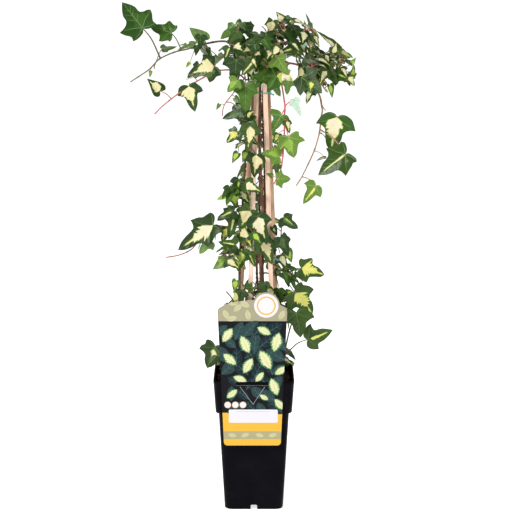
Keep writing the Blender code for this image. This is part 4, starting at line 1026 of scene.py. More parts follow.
class Spray:
    """One mass of foliage: its own stem, and the twigs, stalks and blades that grow on it."""

    def __init__(self, name, limbs, space):
        bearer, height, via, self.twigs, self.leaves, self.longest, self.shown = SPRAYS[name]
        self.name = name
        self.space = space
        self.chance = random.Random(name)
        self.stem = grown(limbs[bearer], height, via, TWIG_THICK, TWIG_THIN, TWIG_STEP)
        self.bearers = [(self.stem, self.name + "_stem", self.leaves)]
        self.made = []
        self.tone = None
        space.add(tube(self.stem.route, self.stem.radii), name + "_stem")

    def deal_tone(self, place):
        """A rule-grown leaf's tone, by its height, from its own draw."""
        draw = random.Random(f"{self.name} tone {len(self.made)}")
        return draw.choice(OWN_TONES.get(self.name, LOW_TONES if place.z < LOW_BELOW else HIGH_TONES))

    def try_leaf(self, limb, owner, share, way, length, size, form, heading, face):
        """Adds a leaf where it fits, and says whether it did."""
        foot, _, _ = limb.spot(share)
        seat = foot + way * length
        face = (face - heading * face.dot(heading)).normalized()
        tip = seat + heading * size
        low, high = LIMITS
        if any(not low[k] < point[k] < high[k] for point in (seat, tip) for k in range(3)):
            return False
        if not self.tone and any(in_the_open(seat.lerp(tip, share)) for share in (0.3, 0.65, 1.0)):
            return False
        radii = [STALK_THICK, (STALK_THICK + STALK_THIN) / 2, STALK_THIN]
        route = stalk_route(foot, seat, heading, size)
        swollen = tube(route, [radius + CLEAR for radius in radii[-len(route):]])
        spread = blade(form, size, seat, heading, face, CLEAR)
        fits = (self.space.is_free(spread)
                and (self.tone is not None or self.space.is_free(swollen, (owner,))))
        swollen.free()
        spread.free()
        if not fits:
            return False
        for bm in (tube(route, radii[-len(route):]), blade(form, size, seat, heading, face)):
            self.space.add(bm, self.name)
            bm.free()
        tone = self.tone or self.deal_tone(seat)
        self.made.append(Leaf(limb, share, foot, seat, heading, face, size, form, tone.rstrip("+-"),
                              WIDTHS.get(tone[-1], SLENDER), f"{self.name} {len(self.made)}"))
        return True

    def show(self):
        """The leaves that the plant shows, each brought nearer, or set back, where its place is taken."""
        tones = SHOWN_TONES.get(self.name, "").split()
        for tone, (share, stalk, length, lie, size, form, *turn) in zip(tones, self.shown):
            self.tone = tone
            turned = math.radians(turn[0] if turn else self.chance.uniform(-TURN_SPREAD, TURN_SPREAD))
            lean = math.radians(SHOW_LEAN + self.chance.uniform(-LEAN_SPREAD, LEAN_SPREAD))
            angle, pointing = math.radians(stalk), math.radians(lie)
            for attempt in range(SHOW_TRIES):
                nod = math.radians(self.chance.uniform(-NOD_SPREAD, NOD_SPREAD))
                way = Vector((math.cos(angle) * math.cos(lean), -math.sin(lean),
                              math.sin(angle) * math.cos(lean))) * length
                step = attempt if attempt < STEPS_FORWARD else STEPS_FORWARD - 1 - attempt
                forward = (-FORWARD if tone == "under" else FORWARD) * step
                way += Vector((0, -forward, forward * DOWNWARD))
                heading = Vector((math.cos(pointing) * math.cos(nod), math.sin(nod),
                                  math.sin(pointing) * math.cos(nod)))
                face = Matrix.Rotation(turned, 3, heading) @ TOWARDS_VIEWER
                if self.try_leaf(self.stem, self.name + "_stem", min(share, LAST_SHARE), way.normalized(),
                                 way.length, size, form, heading, face):
                    break
        self.tone = None

    def outward(self, place):
        """Away from the plant's middle line, level."""
        away = Vector((place.x - 8, place.y, 0))
        return away.normalized() if away.length > 4 else Vector((0, -1, 0))

    def bend(self, amount):
        return Vector(self.chance.uniform(-amount, amount) for _ in range(3))

    def add_twigs(self, count, shortest, longest, leaves, title):
        """Twigs at even shares of the stem, each turned on from the last by the golden angle."""
        for k in range(count):
            share = (k + 0.6) / (count + 0.2)
            for attempt in range(TRIES):
                foot, along, _ = self.stem.spot(share)
                side = Matrix.Rotation(GOLDEN * (k + attempt), 3, along) @ along.orthogonal()
                way = (side.normalized() + self.outward(foot) * 0.7 + UP * 0.5
                       + self.bend(0.3)).normalized()
                length = self.chance.uniform(shortest, longest)
                middle = foot + way * length * 0.5 + UP * 2
                twig = Limb((foot, middle, foot + way * length), TWIG_THIN, STALK_THICK, TWIG_STEP)
                trial = tube(twig.route, [radius + CLEAR for radius in twig.radii])
                owner = f"{self.name}_{title}_{k}"
                if (not in_the_open(twig.route[-1])
                        and self.space.is_free(trial, (self.name + "_stem",))):
                    self.space.add(tube(twig.route, twig.radii), owner)
                    self.bearers.append((twig, owner, leaves))
                    trial.free()
                    break
                trial.free()

    def fill(self):
        """The part's rule: twigs, and leaves turning round the stem and the twigs."""
        self.add_twigs(self.twigs, 24, 40, 3, "twig")
        for limb, owner, count in self.bearers:
            for k in range(count):
                self.add_by_rule(limb, owner, (k + 0.75) / (count + 0.25), k)

    def refine(self):
        """The rule carried finer: short twigs between the others, and smaller leaves."""
        self.chance = random.Random(self.name + " finer")
        if self.name in BARE:
            return
        self.add_twigs(FINE_TWIGS, 9, 20, 2, "fine_twig")
        for shrink in FINER:
            for limb, owner, count in self.bearers:
                more = count + FINE_LEAVES
                for k in range(more):
                    self.add_by_rule(limb, owner, (k + shrink * 0.7) / more, k + 2, FINE_TRIES, shrink)
        self.tone = "young"
        for limb, owner, _ in self.bearers[::2]:
            self.add_bud(limb)

    def add_bud(self, limb):
        """A folded young leaf at the end of a twig."""
        tip, along, _ = limb.spot(1.0)
        if in_the_open(tip):
            return
        size = self.chance.uniform(4.0, 7.5)
        heading = (along + self.bend(0.3)).normalized()
        face = TOWARDS_VIEWER + self.bend(0.5)
        face = (face - heading * face.dot(heading)).normalized()
        self.made.append(Leaf(limb, 0.97, tip, tip + heading * 1.5, heading, face, size, "heart",
                              self.tone, SLENDER, f"{self.name} bud {len(self.made)}"))

    def add_by_rule(self, limb, owner, share, turn, tries=TRIES, shrink=1.0):
        for attempt in range(tries):
            foot, along, _ = limb.spot(min(share, 0.98))
            side = Matrix.Rotation(GOLDEN * (turn + attempt), 3, along) @ along.orthogonal()
            out = self.outward(foot)
            way = (side.normalized() + out * 0.6 + UP * 0.3 + self.bend(0.25)).normalized()
            heading = (way * 0.5 + out * 0.5 - UP * self.chance.uniform(0.3, 1.1)
                       + self.bend(0.3)).normalized()
            face = out * 0.8 + UP * 0.7 + self.bend(0.35 if out.y < 0 else 1.1)
            if shrink < 1.0 and out.y < 0.5:
                face += TOWARDS_VIEWER * 0.8
                if self.name in INWARD:
                    way = (way + Vector((max(-1.2, min(1.2, (8 - foot.x) / 20)), -0.5, 0))).normalized()
                    heading = (heading + Vector(((8 - foot.x) / 30, -0.3, 0))).normalized()
            size = self.longest * shrink * self.chance.uniform(0.66, 1.0) * 0.97 ** attempt
            form = self.chance.choice(("three", "three", "heart"))
            length = self.chance.uniform(0.45, 0.8) * size
            if self.try_leaf(limb, owner, share, way, length, size, form, heading, face):
                return


def grow_plant():
    """All limbs and sprays, grown in the part's order and then carried finer."""
    limbs = {}
    for name, (thick, thin, points) in STEMS.items():
        limbs[name] = Limb(points, thick, thin, STEM_STEP, STEM_FLARE)
    for name, (bearer, height, thick, thin, via) in BOUGHS.items():
        limbs[name] = grown(limbs[bearer], height, via, thick, thin, STEM_STEP / 2)
    space = Space()
    for name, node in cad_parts.items():
        if name not in SPRAYS:
            bm = bmesh.new()
            bm.from_mesh(node.data)
            bmesh.ops.scale(bm, vec=(1 / MM,) * 3, verts=bm.verts[:])
            space.add(bm, name)
            bm.free()
    sprays = [Spray(name, limbs, space) for name in SPRAYS]
    for spray in sprays:
        spray.show()
    for spray in sprays:
        spray.fill()
    bearer = next(spray for spray in sprays if spray.name == SIDE_SHOOT[0])
    shoot = Limb(SIDE_SHOOT[1], 0.9, 0.6, TWIG_STEP)
    bearer.bearers.append((shoot, bearer.name + "_shoot", 0))
    bearer.tone = "young"
    share, way, length, size, heading = SIDE_LEAF
    bearer.try_leaf(shoot, bearer.name + "_shoot", share, Vector(way), length, size, "heart",
                    Vector(heading), TOWARDS_VIEWER.copy())
    bearer.tone = None
    for spray in sprays:
        spray.refine()
    return limbs, sprays


def patchwork(outline, shapes, spots=()):
    """Cuts a flat outline by shapes laid over it: points, triangles, and which shapes cover each."""
    points = [Vector(point) for point in outline]
    loops = [list(range(len(points)))]
    for shape in shapes:
        loops.append(list(range(len(points), len(points) + len(shape))))
        points += [Vector(point) for point in shape]
    points += [Vector(point) for point in spots]
    flat, _, faces, _, _, sources = delaunay_2d_cdt(points, [], loops, 0, 1e-5)
    triangles, covers = [], []
    for face, source in zip(faces, sources):
        if 0 in source:
            a, b, c = (flat[k] for k in face)
            turned = (b - a).cross(c - a)
            if abs(turned) > 1e-9:
                triangles.append(face if turned > 0 else face[::-1])
                covers.append(set(source) - {0})
    return np.array([tuple(point) for point in flat]), np.array(triangles), covers


SHEET_SHARP = 50.0           # past this angle an edge of a joined sheet is drawn sharp


class Joined:
    """Many small closed shapes gathered into one mesh."""

    def __init__(self, skins):
        self.skins = list(skins)
        self.points = []
        self.faces = []
        self.slots = []
        self.count = 0

    def add_sheet(self, front, back, triangles, front_skins, back_skins, wall_skin):
        """A thin closed sheet from the points of its two sides."""
        half = len(front)
        seen = {(a, b) for tri in triangles for a, b in zip(tri, np.roll(tri, -1))}
        border = [(a, b) for a, b in seen if (b, a) not in seen]
        border.sort()
        walls = [(b, a, a + half) for a, b in border] + [(b, a + half, b + half) for a, b in border]
        self.points += [front, back]
        self.faces.append(np.concatenate((triangles, triangles[:, ::-1] + half, walls)) + self.count)
        self.slots += [self.skins.index(name) for name in (*front_skins, *back_skins)]
        self.slots += [self.skins.index(wall_skin)] * len(walls)
        self.count += 2 * half

    def piece(self, name):
        mesh = bpy.data.meshes.new(name)
        points = np.concatenate(self.points) * MM
        mesh.from_pydata(points.tolist(), [], np.concatenate(self.faces).tolist())
        for skin in self.skins:
            mesh.materials.append(SKINS[skin])
        mesh.polygons.foreach_set("material_index", self.slots)
        mesh.shade_smooth()
        mesh.set_sharp_from_angle(angle=math.radians(SHEET_SHARP))
        mesh.update()
        return show_piece(name, mesh)


def curved(marks, step):
    """A line through flat marks (x, y, point or not), round at the soft ones, in even steps."""
    runs, run = [], [marks[0]]
    for mark in marks[1:]:
        run.append(mark)
        if mark[2]:
            runs.append(run)
            run = [mark]
    line = []
    for run in runs:
        line += [point.to_2d() for point in smooth([(x, y, 0) for x, y, _ in run], step)[:-1]]
    return line


def blade_outline(form, chance, step):
    """A blade's whole outline, counter-clockwise from its notch, uneven as real ones are."""
    sides = []
    for hand in (1, -1):
        wide, swept = chance.uniform(0.86, 1.10), chance.uniform(-0.09, 0.07)
        marks = [(x * hand * wide + (chance.uniform(-0.016, 0.016) if x else 0),
                  y + (abs(x) * swept + chance.uniform(-0.018, 0.018) if x else 0), point)
                 for x, y, point in FORMS[form]]
        sides.append(curved(marks, step))
    right, left = sides
    tip = Vector((0.0, 1.0))
    return right + [tip] + left[:0:-1]


def reach(outline, centre, way):
    """How far it is from a point inside an outline to its edge."""
    a = np.array(outline) - np.array(centre)
    b = np.roll(a, -1, axis=0)
    edge = b - a
    turned = way[0] * edge[:, 1] - way[1] * edge[:, 0]
    turned[abs(turned) < 1e-9] = 1e-9
    far = (a[:, 0] * edge[:, 1] - a[:, 1] * edge[:, 0]) / turned
    along = (a[:, 0] * way[1] - a[:, 1] * way[0]) / turned
    hits = far[(far > 1e-6) & (along >= 0) & (along <= 1)]
    return float(hits.min()) if len(hits) else 0.1


# How far the dips between a heart's teeth reach, as shares of its full width
SHALLOW = (0.62, 1.0)
DEEP = (0.30, 0.85)
# Each pattern of a heart: where it starts and ends along the midrib, how much of the way to the
# blade's edge it goes at most, how much fuller one half may be than the other, and its dips
PATTERNS = {
    "large": ((0.0, 0.04), (0.76, 0.95), 0.90, 0.38, SHALLOW),
    "streak": ((0.03, 0.15), (0.60, 0.86), 0.26, 0.60, SHALLOW),
    "thread": ((0.02, 0.05), (0.70, 0.85), 0.09, 0.30, SHALLOW),
    "spot": ((0.08, 0.22), (0.42, 0.62), 0.42, 0.50, SHALLOW),
    "feather": ((0.0, 0.04), (0.80, 0.95), 0.80, 0.30, DEEP),
    "whole": ((0.015, 0.02), (0.93, 0.96), 0.92, 0.05, SHALLOW),
    "cloud": ((0.02, 0.10), (0.60, 0.95), 0.80, 0.60, SHALLOW),
}
TOOTH = 0.105                # along the midrib, from one tooth of a heart to the next


def heart(outline, pattern, chance, margin):
    """The toothed pale patch along a blade's midrib, and the thin edge round it."""
    starts, ends, most, uneven, dips = PATTERNS[pattern]
    low, high = chance.uniform(*starts), chance.uniform(*ends)
    core = [(0.0, low)]
    edge = [(0.0, max(low - margin, 0.012))]
    fuller = chance.choice((1, -1))
    for hand in (1, -1):
        full = most * chance.uniform(0.8, 1.2) * (1.0 if hand == fuller else 1 - uneven)
        high_here = high * chance.uniform(0.88, 1.0)
        count = max(4, round((high_here - low) / TOOTH))
        side, around = [], []
        for k in range(2 * count - 1):
            share = (k + 1) / (2 * count)
            y = low + (high_here - low) * share + chance.uniform(-0.21, 0.21) * TOOTH
            room = reach(outline, (0.0, y), (hand * 0.94, 0.34))
            bulge = math.sin(math.pi * min(1.0, share * 1.15 + 0.12)) ** 0.55 * full
            tooth = chance.uniform(0.70, 1.15) if k % 2 else chance.uniform(*dips)
            far = max(0.018, min(0.93, bulge * tooth) * room)
            lean = 0.45 * far if k % 2 else 0.3 * far
            out = min(far + margin * 1.15, room * 0.97)
            side.append((hand * far * 0.94, y + lean))
            around.append((hand * out * 0.94, y + lean + (margin * 0.3 if k % 2 else -margin * 0.3)))
        if hand > 0:
            core += side + [(0.0, high)]
            edge += around + [(0.0, min(high + 2 * margin, 0.97))]
        else:
            core += side[::-1]
            edge += around[::-1]
    return edge, core


def strip(points, wide, narrow):
    """A thin tapering strip along a flat line."""
    left, right = [], []
    for k, point in enumerate(points):
        along = (points[min(k + 1, len(points) - 1)] - points[max(k - 1, 0)]).normalized()
        half = (wide + (narrow - wide) * k / (len(points) - 1)) / 2
        beside = Vector((-along.y, along.x)) * half
        left.append(point + beside)
        right.append(point - beside)
    return right + left[::-1]


def vein_lines(form, outline, chance, with_sides):
    """The midrib, the veins of the lobes and the side veins, as flat lines with their widths."""
    lines = [([Vector((0, 0.01)), Vector((0, 0.35)), Vector((0, 0.95))], 0.026, 0.008)]
    for hand in (1, -1):
        for x, y in VEINS[form]:
            start = Vector((0, 0.02))
            end = Vector((x * hand, y)) * chance.uniform(0.86, 0.95)
            bow = Vector((0, 0.03 if y > 0 else -0.03))
            lines.append(([start, start.lerp(end, 0.5) + bow, end], 0.019, 0.006))
        for y in SIDE_VEINS if with_sides else ():
            start = Vector((0, y + chance.uniform(-0.03, 0.03)))
            way = Vector((0.72 * hand, 0.69))
            far = reach(outline, start, way) * chance.uniform(0.66, 0.82)
            middle = start + way * far * 0.5 + Vector((0, -0.012))
            lines.append(([start, middle, start + way * far], 0.011, 0.005))
    return lines


def inner_spots(outline, lines, gap):
    """A loose net of points inside an outline, clear of its edge and of the lines on it."""
    edge = np.array(outline)
    after = np.roll(edge, -1, axis=0)
    low, high = edge.min(0), edge.max(0)
    rows = np.arange(low[1] + gap / 2, high[1], gap * 0.87)
    net = np.array([(x + (gap / 2 if k % 2 else 0), y) for k, y in enumerate(rows)
                    for x in np.arange(low[0], high[0], gap)])
    crossing = (edge[None, :, 1] > net[:, None, 1]) != (after[None, :, 1] > net[:, None, 1])
    rise = np.where(after[:, 1] == edge[:, 1], 1e-9, after[:, 1] - edge[:, 1])
    at = edge[:, 0] + (net[:, None, 1] - edge[:, 1]) * (after[:, 0] - edge[:, 0]) / rise
    inside = ((net[:, None, 0] < at) & crossing).sum(1) % 2 == 1
    net = net[inside]
    apart = np.minimum(nearest(net, edge, after), to_lines(net, lines))
    return net[apart > gap * 0.38]


def nearest(points, starts, ends):
    """How far each point is from the nearest of some straight lines."""
    if not len(points):
        return np.zeros(0)
    along = ends - starts
    gone = points[:, None] - starts[None]
    size = (along ** 2).sum(1)
    size[size == 0] = 1e-12
    share = np.clip((gone * along).sum(2) / size, 0, 1)
    return np.sqrt(((gone - share[..., None] * along) ** 2).sum(2)).min(1)


def to_lines(points, lines):
    starts = np.array([tuple(a) for line, _, _ in lines for a in line[:-1]])
    ends = np.array([tuple(b) for line, _, _ in lines for b in line[1:]])
    return nearest(points, starts, ends)


BLADE_THICKNESS = 0.34
FINE_STEP = 1.7              # length of one straight piece of a blade's edge
NET_STEP = 3.1               # width of a blade's inner faces
SIDES_FROM = 17.0            # a shorter blade has no side veins


def add_blade(joined, leaf):
    """One leaf's blade: cut, coloured, folded, arched and puffed between its veins."""
    chance = random.Random(leaf.name)
    tone = TONES[leaf.tone]
    size = leaf.size
    outline = blade_outline(leaf.form, chance, max(FINE_STEP / size, 0.035))
    lines = vein_lines(leaf.form, outline, chance, size > SIDES_FROM)
    shapes, kinds = [], ["rim"]
    if chance.random() < PATCHED:
        shapes.append(heart(outline, "cloud", chance, 0.03)[1])
        kinds.append("patch")
    if tone.pattern:
        shapes += heart(outline, tone.pattern, chance, max(0.022, 0.7 / size))
        kinds += ["edge", "heart"]
    for line, wide, narrow in lines:
        shapes.append(strip(line, wide, narrow))
        kinds.append("vein")
    net = inner_spots(outline, lines, max(NET_STEP / size, 0.085))
    flat, triangles, covers = patchwork(outline, shapes, net)
    core = chance.choice(tone.hearts) if tone.hearts else None
    rim = chance.choice(tone.rims)
    colours = {"rim": rim, "patch": PATCHES[rim], "edge": tone.edge, "heart": core,
               "vein": tone.vein,
               "heart_vein": "vein_cream" if core in CREAMS else core}
    worn = []
    for cover in covers:
        found = {kinds[k] for k in cover}
        kind = next((kind for kind in ("vein", "heart", "edge", "patch") if kind in found), "rim")
        if kind == "vein" and "heart" in found:
            kind = "heart_vein"
        worn.append(kind)
    fronts = [colours[kind] for kind in worn]
    backs = [UNDERSIDES.get(kind, "under_green") for kind in worn]
    front, back = lie(flat, lines, leaf, chance)
    joined.add_sheet(front, back, triangles, fronts, backs, colours["rim"])


# How each blade curls, from the least to the most: added fold in degrees, arch, droop, twist, waves
FOLDS = (-6, 14)
ARCHES = (0.0, 0.20)
DROOPS = (0.05, 0.75)
TWISTS = (-0.18, 0.18)
WAVES = (0.012, 0.034)
WAVES_ROUND = 5
PUFF = 0.016                 # how far a blade rises between its veins
PUFF_WIDTH = 0.035


def lie(flat, lines, leaf, chance):
    """Where a cut blade's points come to lie, on its upper side and on its underside."""
    x, y = flat[:, 0] * chance.uniform(*leaf.width), flat[:, 1]
    fold = math.radians(LEAF_FOLD + chance.uniform(*FOLDS))
    arch = chance.uniform(*ARCHES)
    droop = chance.uniform(*DROOPS)
    twist = chance.uniform(*TWISTS)
    phase = chance.uniform(0, math.tau)
    wave = chance.uniform(*WAVES)
    puff = PUFF * (1 - np.exp(-(to_lines(flat, lines) / PUFF_WIDTH) ** 2))
    away = np.sqrt(x * x + (y - 0.3) ** 2)
    across = x * math.cos(fold)
    lift = (np.sqrt(x * x + 0.0004) - 0.02) * math.sin(fold) - arch * y * np.abs(y) - droop * x * x
    lift += twist * x * y + puff + wave * np.sin(WAVES_ROUND * np.arctan2(x, y - 0.3) + phase) * away
    way, face = leaf.heading, leaf.face
    side = way.cross(face)
    place = (np.array(leaf.seat) + (across[:, None] * np.array(side) + y[:, None] * np.array(way)
                                    + lift[:, None] * np.array(face)) * leaf.size)
    half = np.array(face) * (BLADE_THICKNESS / 2)
    return place + half, place - half


def line_mesh(name, routes):
    """Lines as edges, each with its thickness in metres at every point."""
    points, edges, radii = [], [], []
    for route, thick in routes:
        start = len(points)
        points += [place * MM for place in route]
        edges += [(start + k, start + k + 1) for k in range(len(route) - 1)]
        radii += [value * MM for value in thick]
    mesh = bpy.data.meshes.new(name)
    mesh.from_pydata(points, edges, [])
    held = mesh.attributes.new("thickness", "FLOAT", "POINT")
    held.data.foreach_set("value", radii)
    return mesh


NODE_STEP = 21.0             # between two swollen joints of a limb
NODE_SWELL = 0.22
LONG_STALK = 25.0            # past this length a stalk is stouter


def knotted(limb, seed, swell=NODE_SWELL):
    """A limb's thickness with its swollen joints, where leaves once stood."""
    chance = random.Random(seed)
    walked = [share * sum((b - a).length for a, b in zip(limb.route, limb.route[1:]))
              for share in limb.shares]
    knots, at = [], chance.uniform(4, NODE_STEP)
    while at < walked[-1]:
        knots.append(at)
        at += NODE_STEP * chance.uniform(0.6, 1.3)
    return [radius * (1 + swell * sum(math.exp(-((gone - knot) / 1.6) ** 2) for knot in knots))
            for radius, gone in zip(limb.radii, walked)]


BARKS = {
    "stem_middle": "rust_bark", "stem_right": "dark_bark", "stem_left": "old_bark",
    "stem_back": "old_bark", "bough_upper_left": "olive_bark", "bough_red_left": "pink_bark",
    "bough_hanging": "red_bark", "bough_right_trail": "tan_bark",
}


def build_limbs(limbs):
    """The stems and boughs, with relief on their bark and rootlets on the old wood."""
    for name, limb in limbs.items():
        stem = name in STEMS
        fine = limb.fine(1.1)
        skin = SKINS[BARKS.get(name, "olive_bark")]
        lines = line_mesh(name, [(fine.route, knotted(fine, name))])
        piece = grow(name + "_bark", lines, "limbs", sides=16 if stem else 12,
                     relief=(0.9 if stem else 0.45) * MM, grain=620.0, skin=skin)
        piece.data.shade_smooth()
        settle(piece, "bark", name)
        if stem:
            hairs = grow(name + "_rootlets", piece.data.copy(), "rootlets", density=26000.0,
                         length=2.6 * MM, seed=len(name), skin=SKINS["rootlet"])
            settle(hairs, "bark")


def build_twigs(sprays, limbs):
    """The sprays' own stems, twigs and leaf stalks, joined by the colour of their wood."""
    routes, nodes = {}, {}
    bearing = {**limbs, **{spray.name: spray.stem for spray in sprays}}
    for name, share, way, length, thick, tone in SNAGS:
        foot, _, _ = bearing[name].spot(share)
        way = Vector(way).normalized()
        bend = way.orthogonal().normalized() * length * 0.12
        route = smooth((foot, foot + way * length * 0.5 + bend, foot + way * length), 1.2)
        radii = [thick * (1 - 0.55 * gone) + 0.25 * math.sin(9 * gone) ** 2 for gone in shares(route)]
        routes.setdefault(tone, []).append((route, radii))
    for name, share, way, length in DRY_BUDS:
        foot, _, _ = bearing[name].spot(share)
        route = smooth((foot, foot + Vector(way).normalized() * length), 0.6)
        radii = [0.5 + 1.3 * math.exp(-((gone - 0.75) / 0.17) ** 2) - 0.3 * gone for gone in shares(route)]
        routes.setdefault("twig_rust", []).append((route, radii))
    for spray in sprays:
        tone = "twig_" + TWIG_TONES.get(spray.name, "brown")
        lines = routes.setdefault(tone, [])
        nodes.setdefault(tone, []).append(spray.name)
        fine = {}
        for limb, owner, _ in spray.bearers:
            fine[id(limb)] = limb.fine(2.0)
            lines.append((fine[id(limb)].route, knotted(fine[id(limb)], owner, 0.3)))
        for leaf in spray.made:
            foot = fine[id(leaf.limb)].spot(leaf.share)[0]
            middle = foot.lerp(leaf.seat, 0.5) + UP * (ARCH * 0.5 * (leaf.seat - foot).length)
            under = leaf.seat - leaf.face * 0.35
            end = under + leaf.heading * (ROOT_SUNK * 0.6 * leaf.size)
            route = smooth((foot, middle, under, end), 2.4)
            thick = [0.78 - 0.3 * share ** 2 + 0.25 * math.exp(-share * 14) for share in shares(route)]
            far = (leaf.seat - foot).length
            slim = min(1.0, 0.45 + leaf.size / 55) * (1 + min(0.6, max(0.0, far - LONG_STALK) / 60))
            lines.append((route, [value * slim for value in thick]))
    for tone, lines in routes.items():
        piece = grow(tone + "s", line_mesh(tone, lines), "limbs", sides=7, relief=0.12 * MM,
                     grain=900.0, skin=SKINS[tone])
        piece.data.shade_smooth()
        settle(piece, "bark", *nodes.get(tone, ()))


def build_leaves(sprays):
    by_name = {spray.name: spray for spray in sprays}
    for group, names in GROUPS.items():
        joined = Joined(LEAF_COLOURS)
        for name in names:
            for leaf in by_name[name].made:
                add_blade(joined, leaf)
        settle(joined.piece("leaves_" + group), "ivy_foliage", *names)


def rounded_square(half, radius, height):
    """One level of a square with round corners, run counter-clockwise."""
    points = []
    for corner in range(4):
        turn = math.radians(90 * corner)
        for step in range(CORNER_STEPS + 1):
            angle = turn + math.radians(90 * step / CORNER_STEPS)
            middle = Matrix.Rotation(turn, 3, "Z") @ Vector((half - radius, half - radius, 0))
            points.append(middle + Vector((math.cos(angle), math.sin(angle), 0)) * radius
                          + UP * height)
    return points


def loft(levels):
    """Joins rounded squares of (half width, corner radius, height) from the first to the last."""
    bm = bmesh.new()
    rings = [[bm.verts.new(point) for point in rounded_square(*level)] for level in levels]
    for low, high in zip(rings, rings[1:]):
        for k in range(len(low)):
            after = (k + 1) % len(low)
            bm.faces.new((low[k], low[after], high[after], high[k]))
    bm.faces.new(rings[0][::-1])
    bm.faces.new(rings[-1])
    return bm


def as_piece(name, bm, *skins):
    bmesh.ops.scale(bm, vec=(MM, MM, MM), verts=bm.verts[:])
    mesh = bpy.data.meshes.new(name)
    bm.to_mesh(mesh)
    bm.free()
    for skin in skins:
        mesh.materials.append(SKINS[skin])
    return show_piece(name, mesh)


def bake(piece):
    """Makes an object's live modifiers part of its mesh."""
    bpy.context.view_layer.update()
    seen = piece.evaluated_get(bpy.context.evaluated_depsgraph_get())
    mesh = bpy.data.meshes.new_from_object(seen)
    piece.modifiers.clear()
    piece.data = mesh


def pot_width(height):
    share = height / (POT_HEIGHT - COLLAR_HEIGHT)
    return FOOT_HALF + (BODY_HALF - FOOT_HALF) * share


def build_pot():
    """The pot with its rounded foot, soft collar and rolled rim, and four drain notches."""
    shoulder = POT_HEIGHT - COLLAR_HEIGHT
    inside = CORNER_RADIUS - POT_WALL
    levels = [(FOOT_HALF - 2.2, CORNER_RADIUS - 1.4, 0)]
    for step in range(1, 5):
        turn = math.radians(90 * step / 4)
        levels.append((pot_width(1.8) - 1.8 + 1.8 * math.sin(turn), CORNER_RADIUS,
                       1.8 - 1.8 * math.cos(turn)))
    for share in (0.2, 0.5, 0.8):
        levels.append((pot_width(shoulder * share), CORNER_RADIUS, shoulder * share))
    levels += [
        (pot_width(shoulder - 1.6), CORNER_RADIUS, shoulder - 1.6),
        (BODY_HALF + 0.3, CORNER_RADIUS, shoulder - 0.7),
        (COLLAR_HALF - 1.2, CORNER_RADIUS, shoulder - 0.2),
        (COLLAR_HALF - 0.4, CORNER_RADIUS, shoulder + 0.2),
        (COLLAR_HALF, CORNER_RADIUS, shoulder + 1.0),
        (COLLAR_HALF + 1.4, CORNER_RADIUS, shoulder + 22),
        (RIM_HALF - 0.35, CORNER_RADIUS, POT_HEIGHT - 5.2),
        (RIM_HALF - 0.1, CORNER_RADIUS, POT_HEIGHT - 4.4),
        (RIM_HALF, CORNER_RADIUS, POT_HEIGHT - 1.0),
        (RIM_HALF - 0.3, CORNER_RADIUS, POT_HEIGHT - 0.3),
        (RIM_HALF - 0.9, CORNER_RADIUS - 0.9, POT_HEIGHT),
        (RIM_HALF - 1.5, CORNER_RADIUS - 1.5, POT_HEIGHT - 0.3),
        (RIM_HALF - POT_WALL, inside, POT_HEIGHT - 1.0),
        (COLLAR_HALF - POT_WALL, inside, shoulder + 3),
        (BODY_HALF - POT_WALL, inside, shoulder - 3),
        (pot_width(POT_FLOOR) - POT_WALL, inside, POT_FLOOR),
    ]
    pot = as_piece("pot_shell", loft(levels), "black_plastic")
    width, depth, height = DRAIN
    cutters = []
    for turn in range(4):
        bm = bmesh.new()
        bmesh.ops.create_cube(bm, size=1.0)
        bmesh.ops.scale(bm, vec=(width, 2 * depth, 2 * height), verts=bm.verts[:])
        bmesh.ops.bevel(bm, geom=[edge for edge in bm.edges
                                  if abs(edge.verts[0].co.y - edge.verts[1].co.y) > 1
                                  and edge.verts[0].co.z > 0], offset=1.6, segments=4,
                        affect="EDGES", profile=0.5)
        bmesh.ops.translate(bm, vec=(0, -FOOT_HALF, 0), verts=bm.verts[:])
        bmesh.ops.rotate(bm, matrix=Matrix.Rotation(math.radians(90 * turn), 3, "Z"),
                         verts=bm.verts[:])
        cutters.append(as_piece(f"drain_{turn}", bm, "black_plastic"))
        step = pot.modifiers.new("drain", "BOOLEAN")
        step.operation = "DIFFERENCE"
        step.object = cutters[-1]
    bake(pot)
    for cutter in cutters:
        bpy.data.objects.remove(cutter, do_unlink=True)
    pot.data.shade_smooth()
    pot.data.set_sharp_from_angle(angle=math.radians(38))
    settle(pot, "black_plastic", "pot")


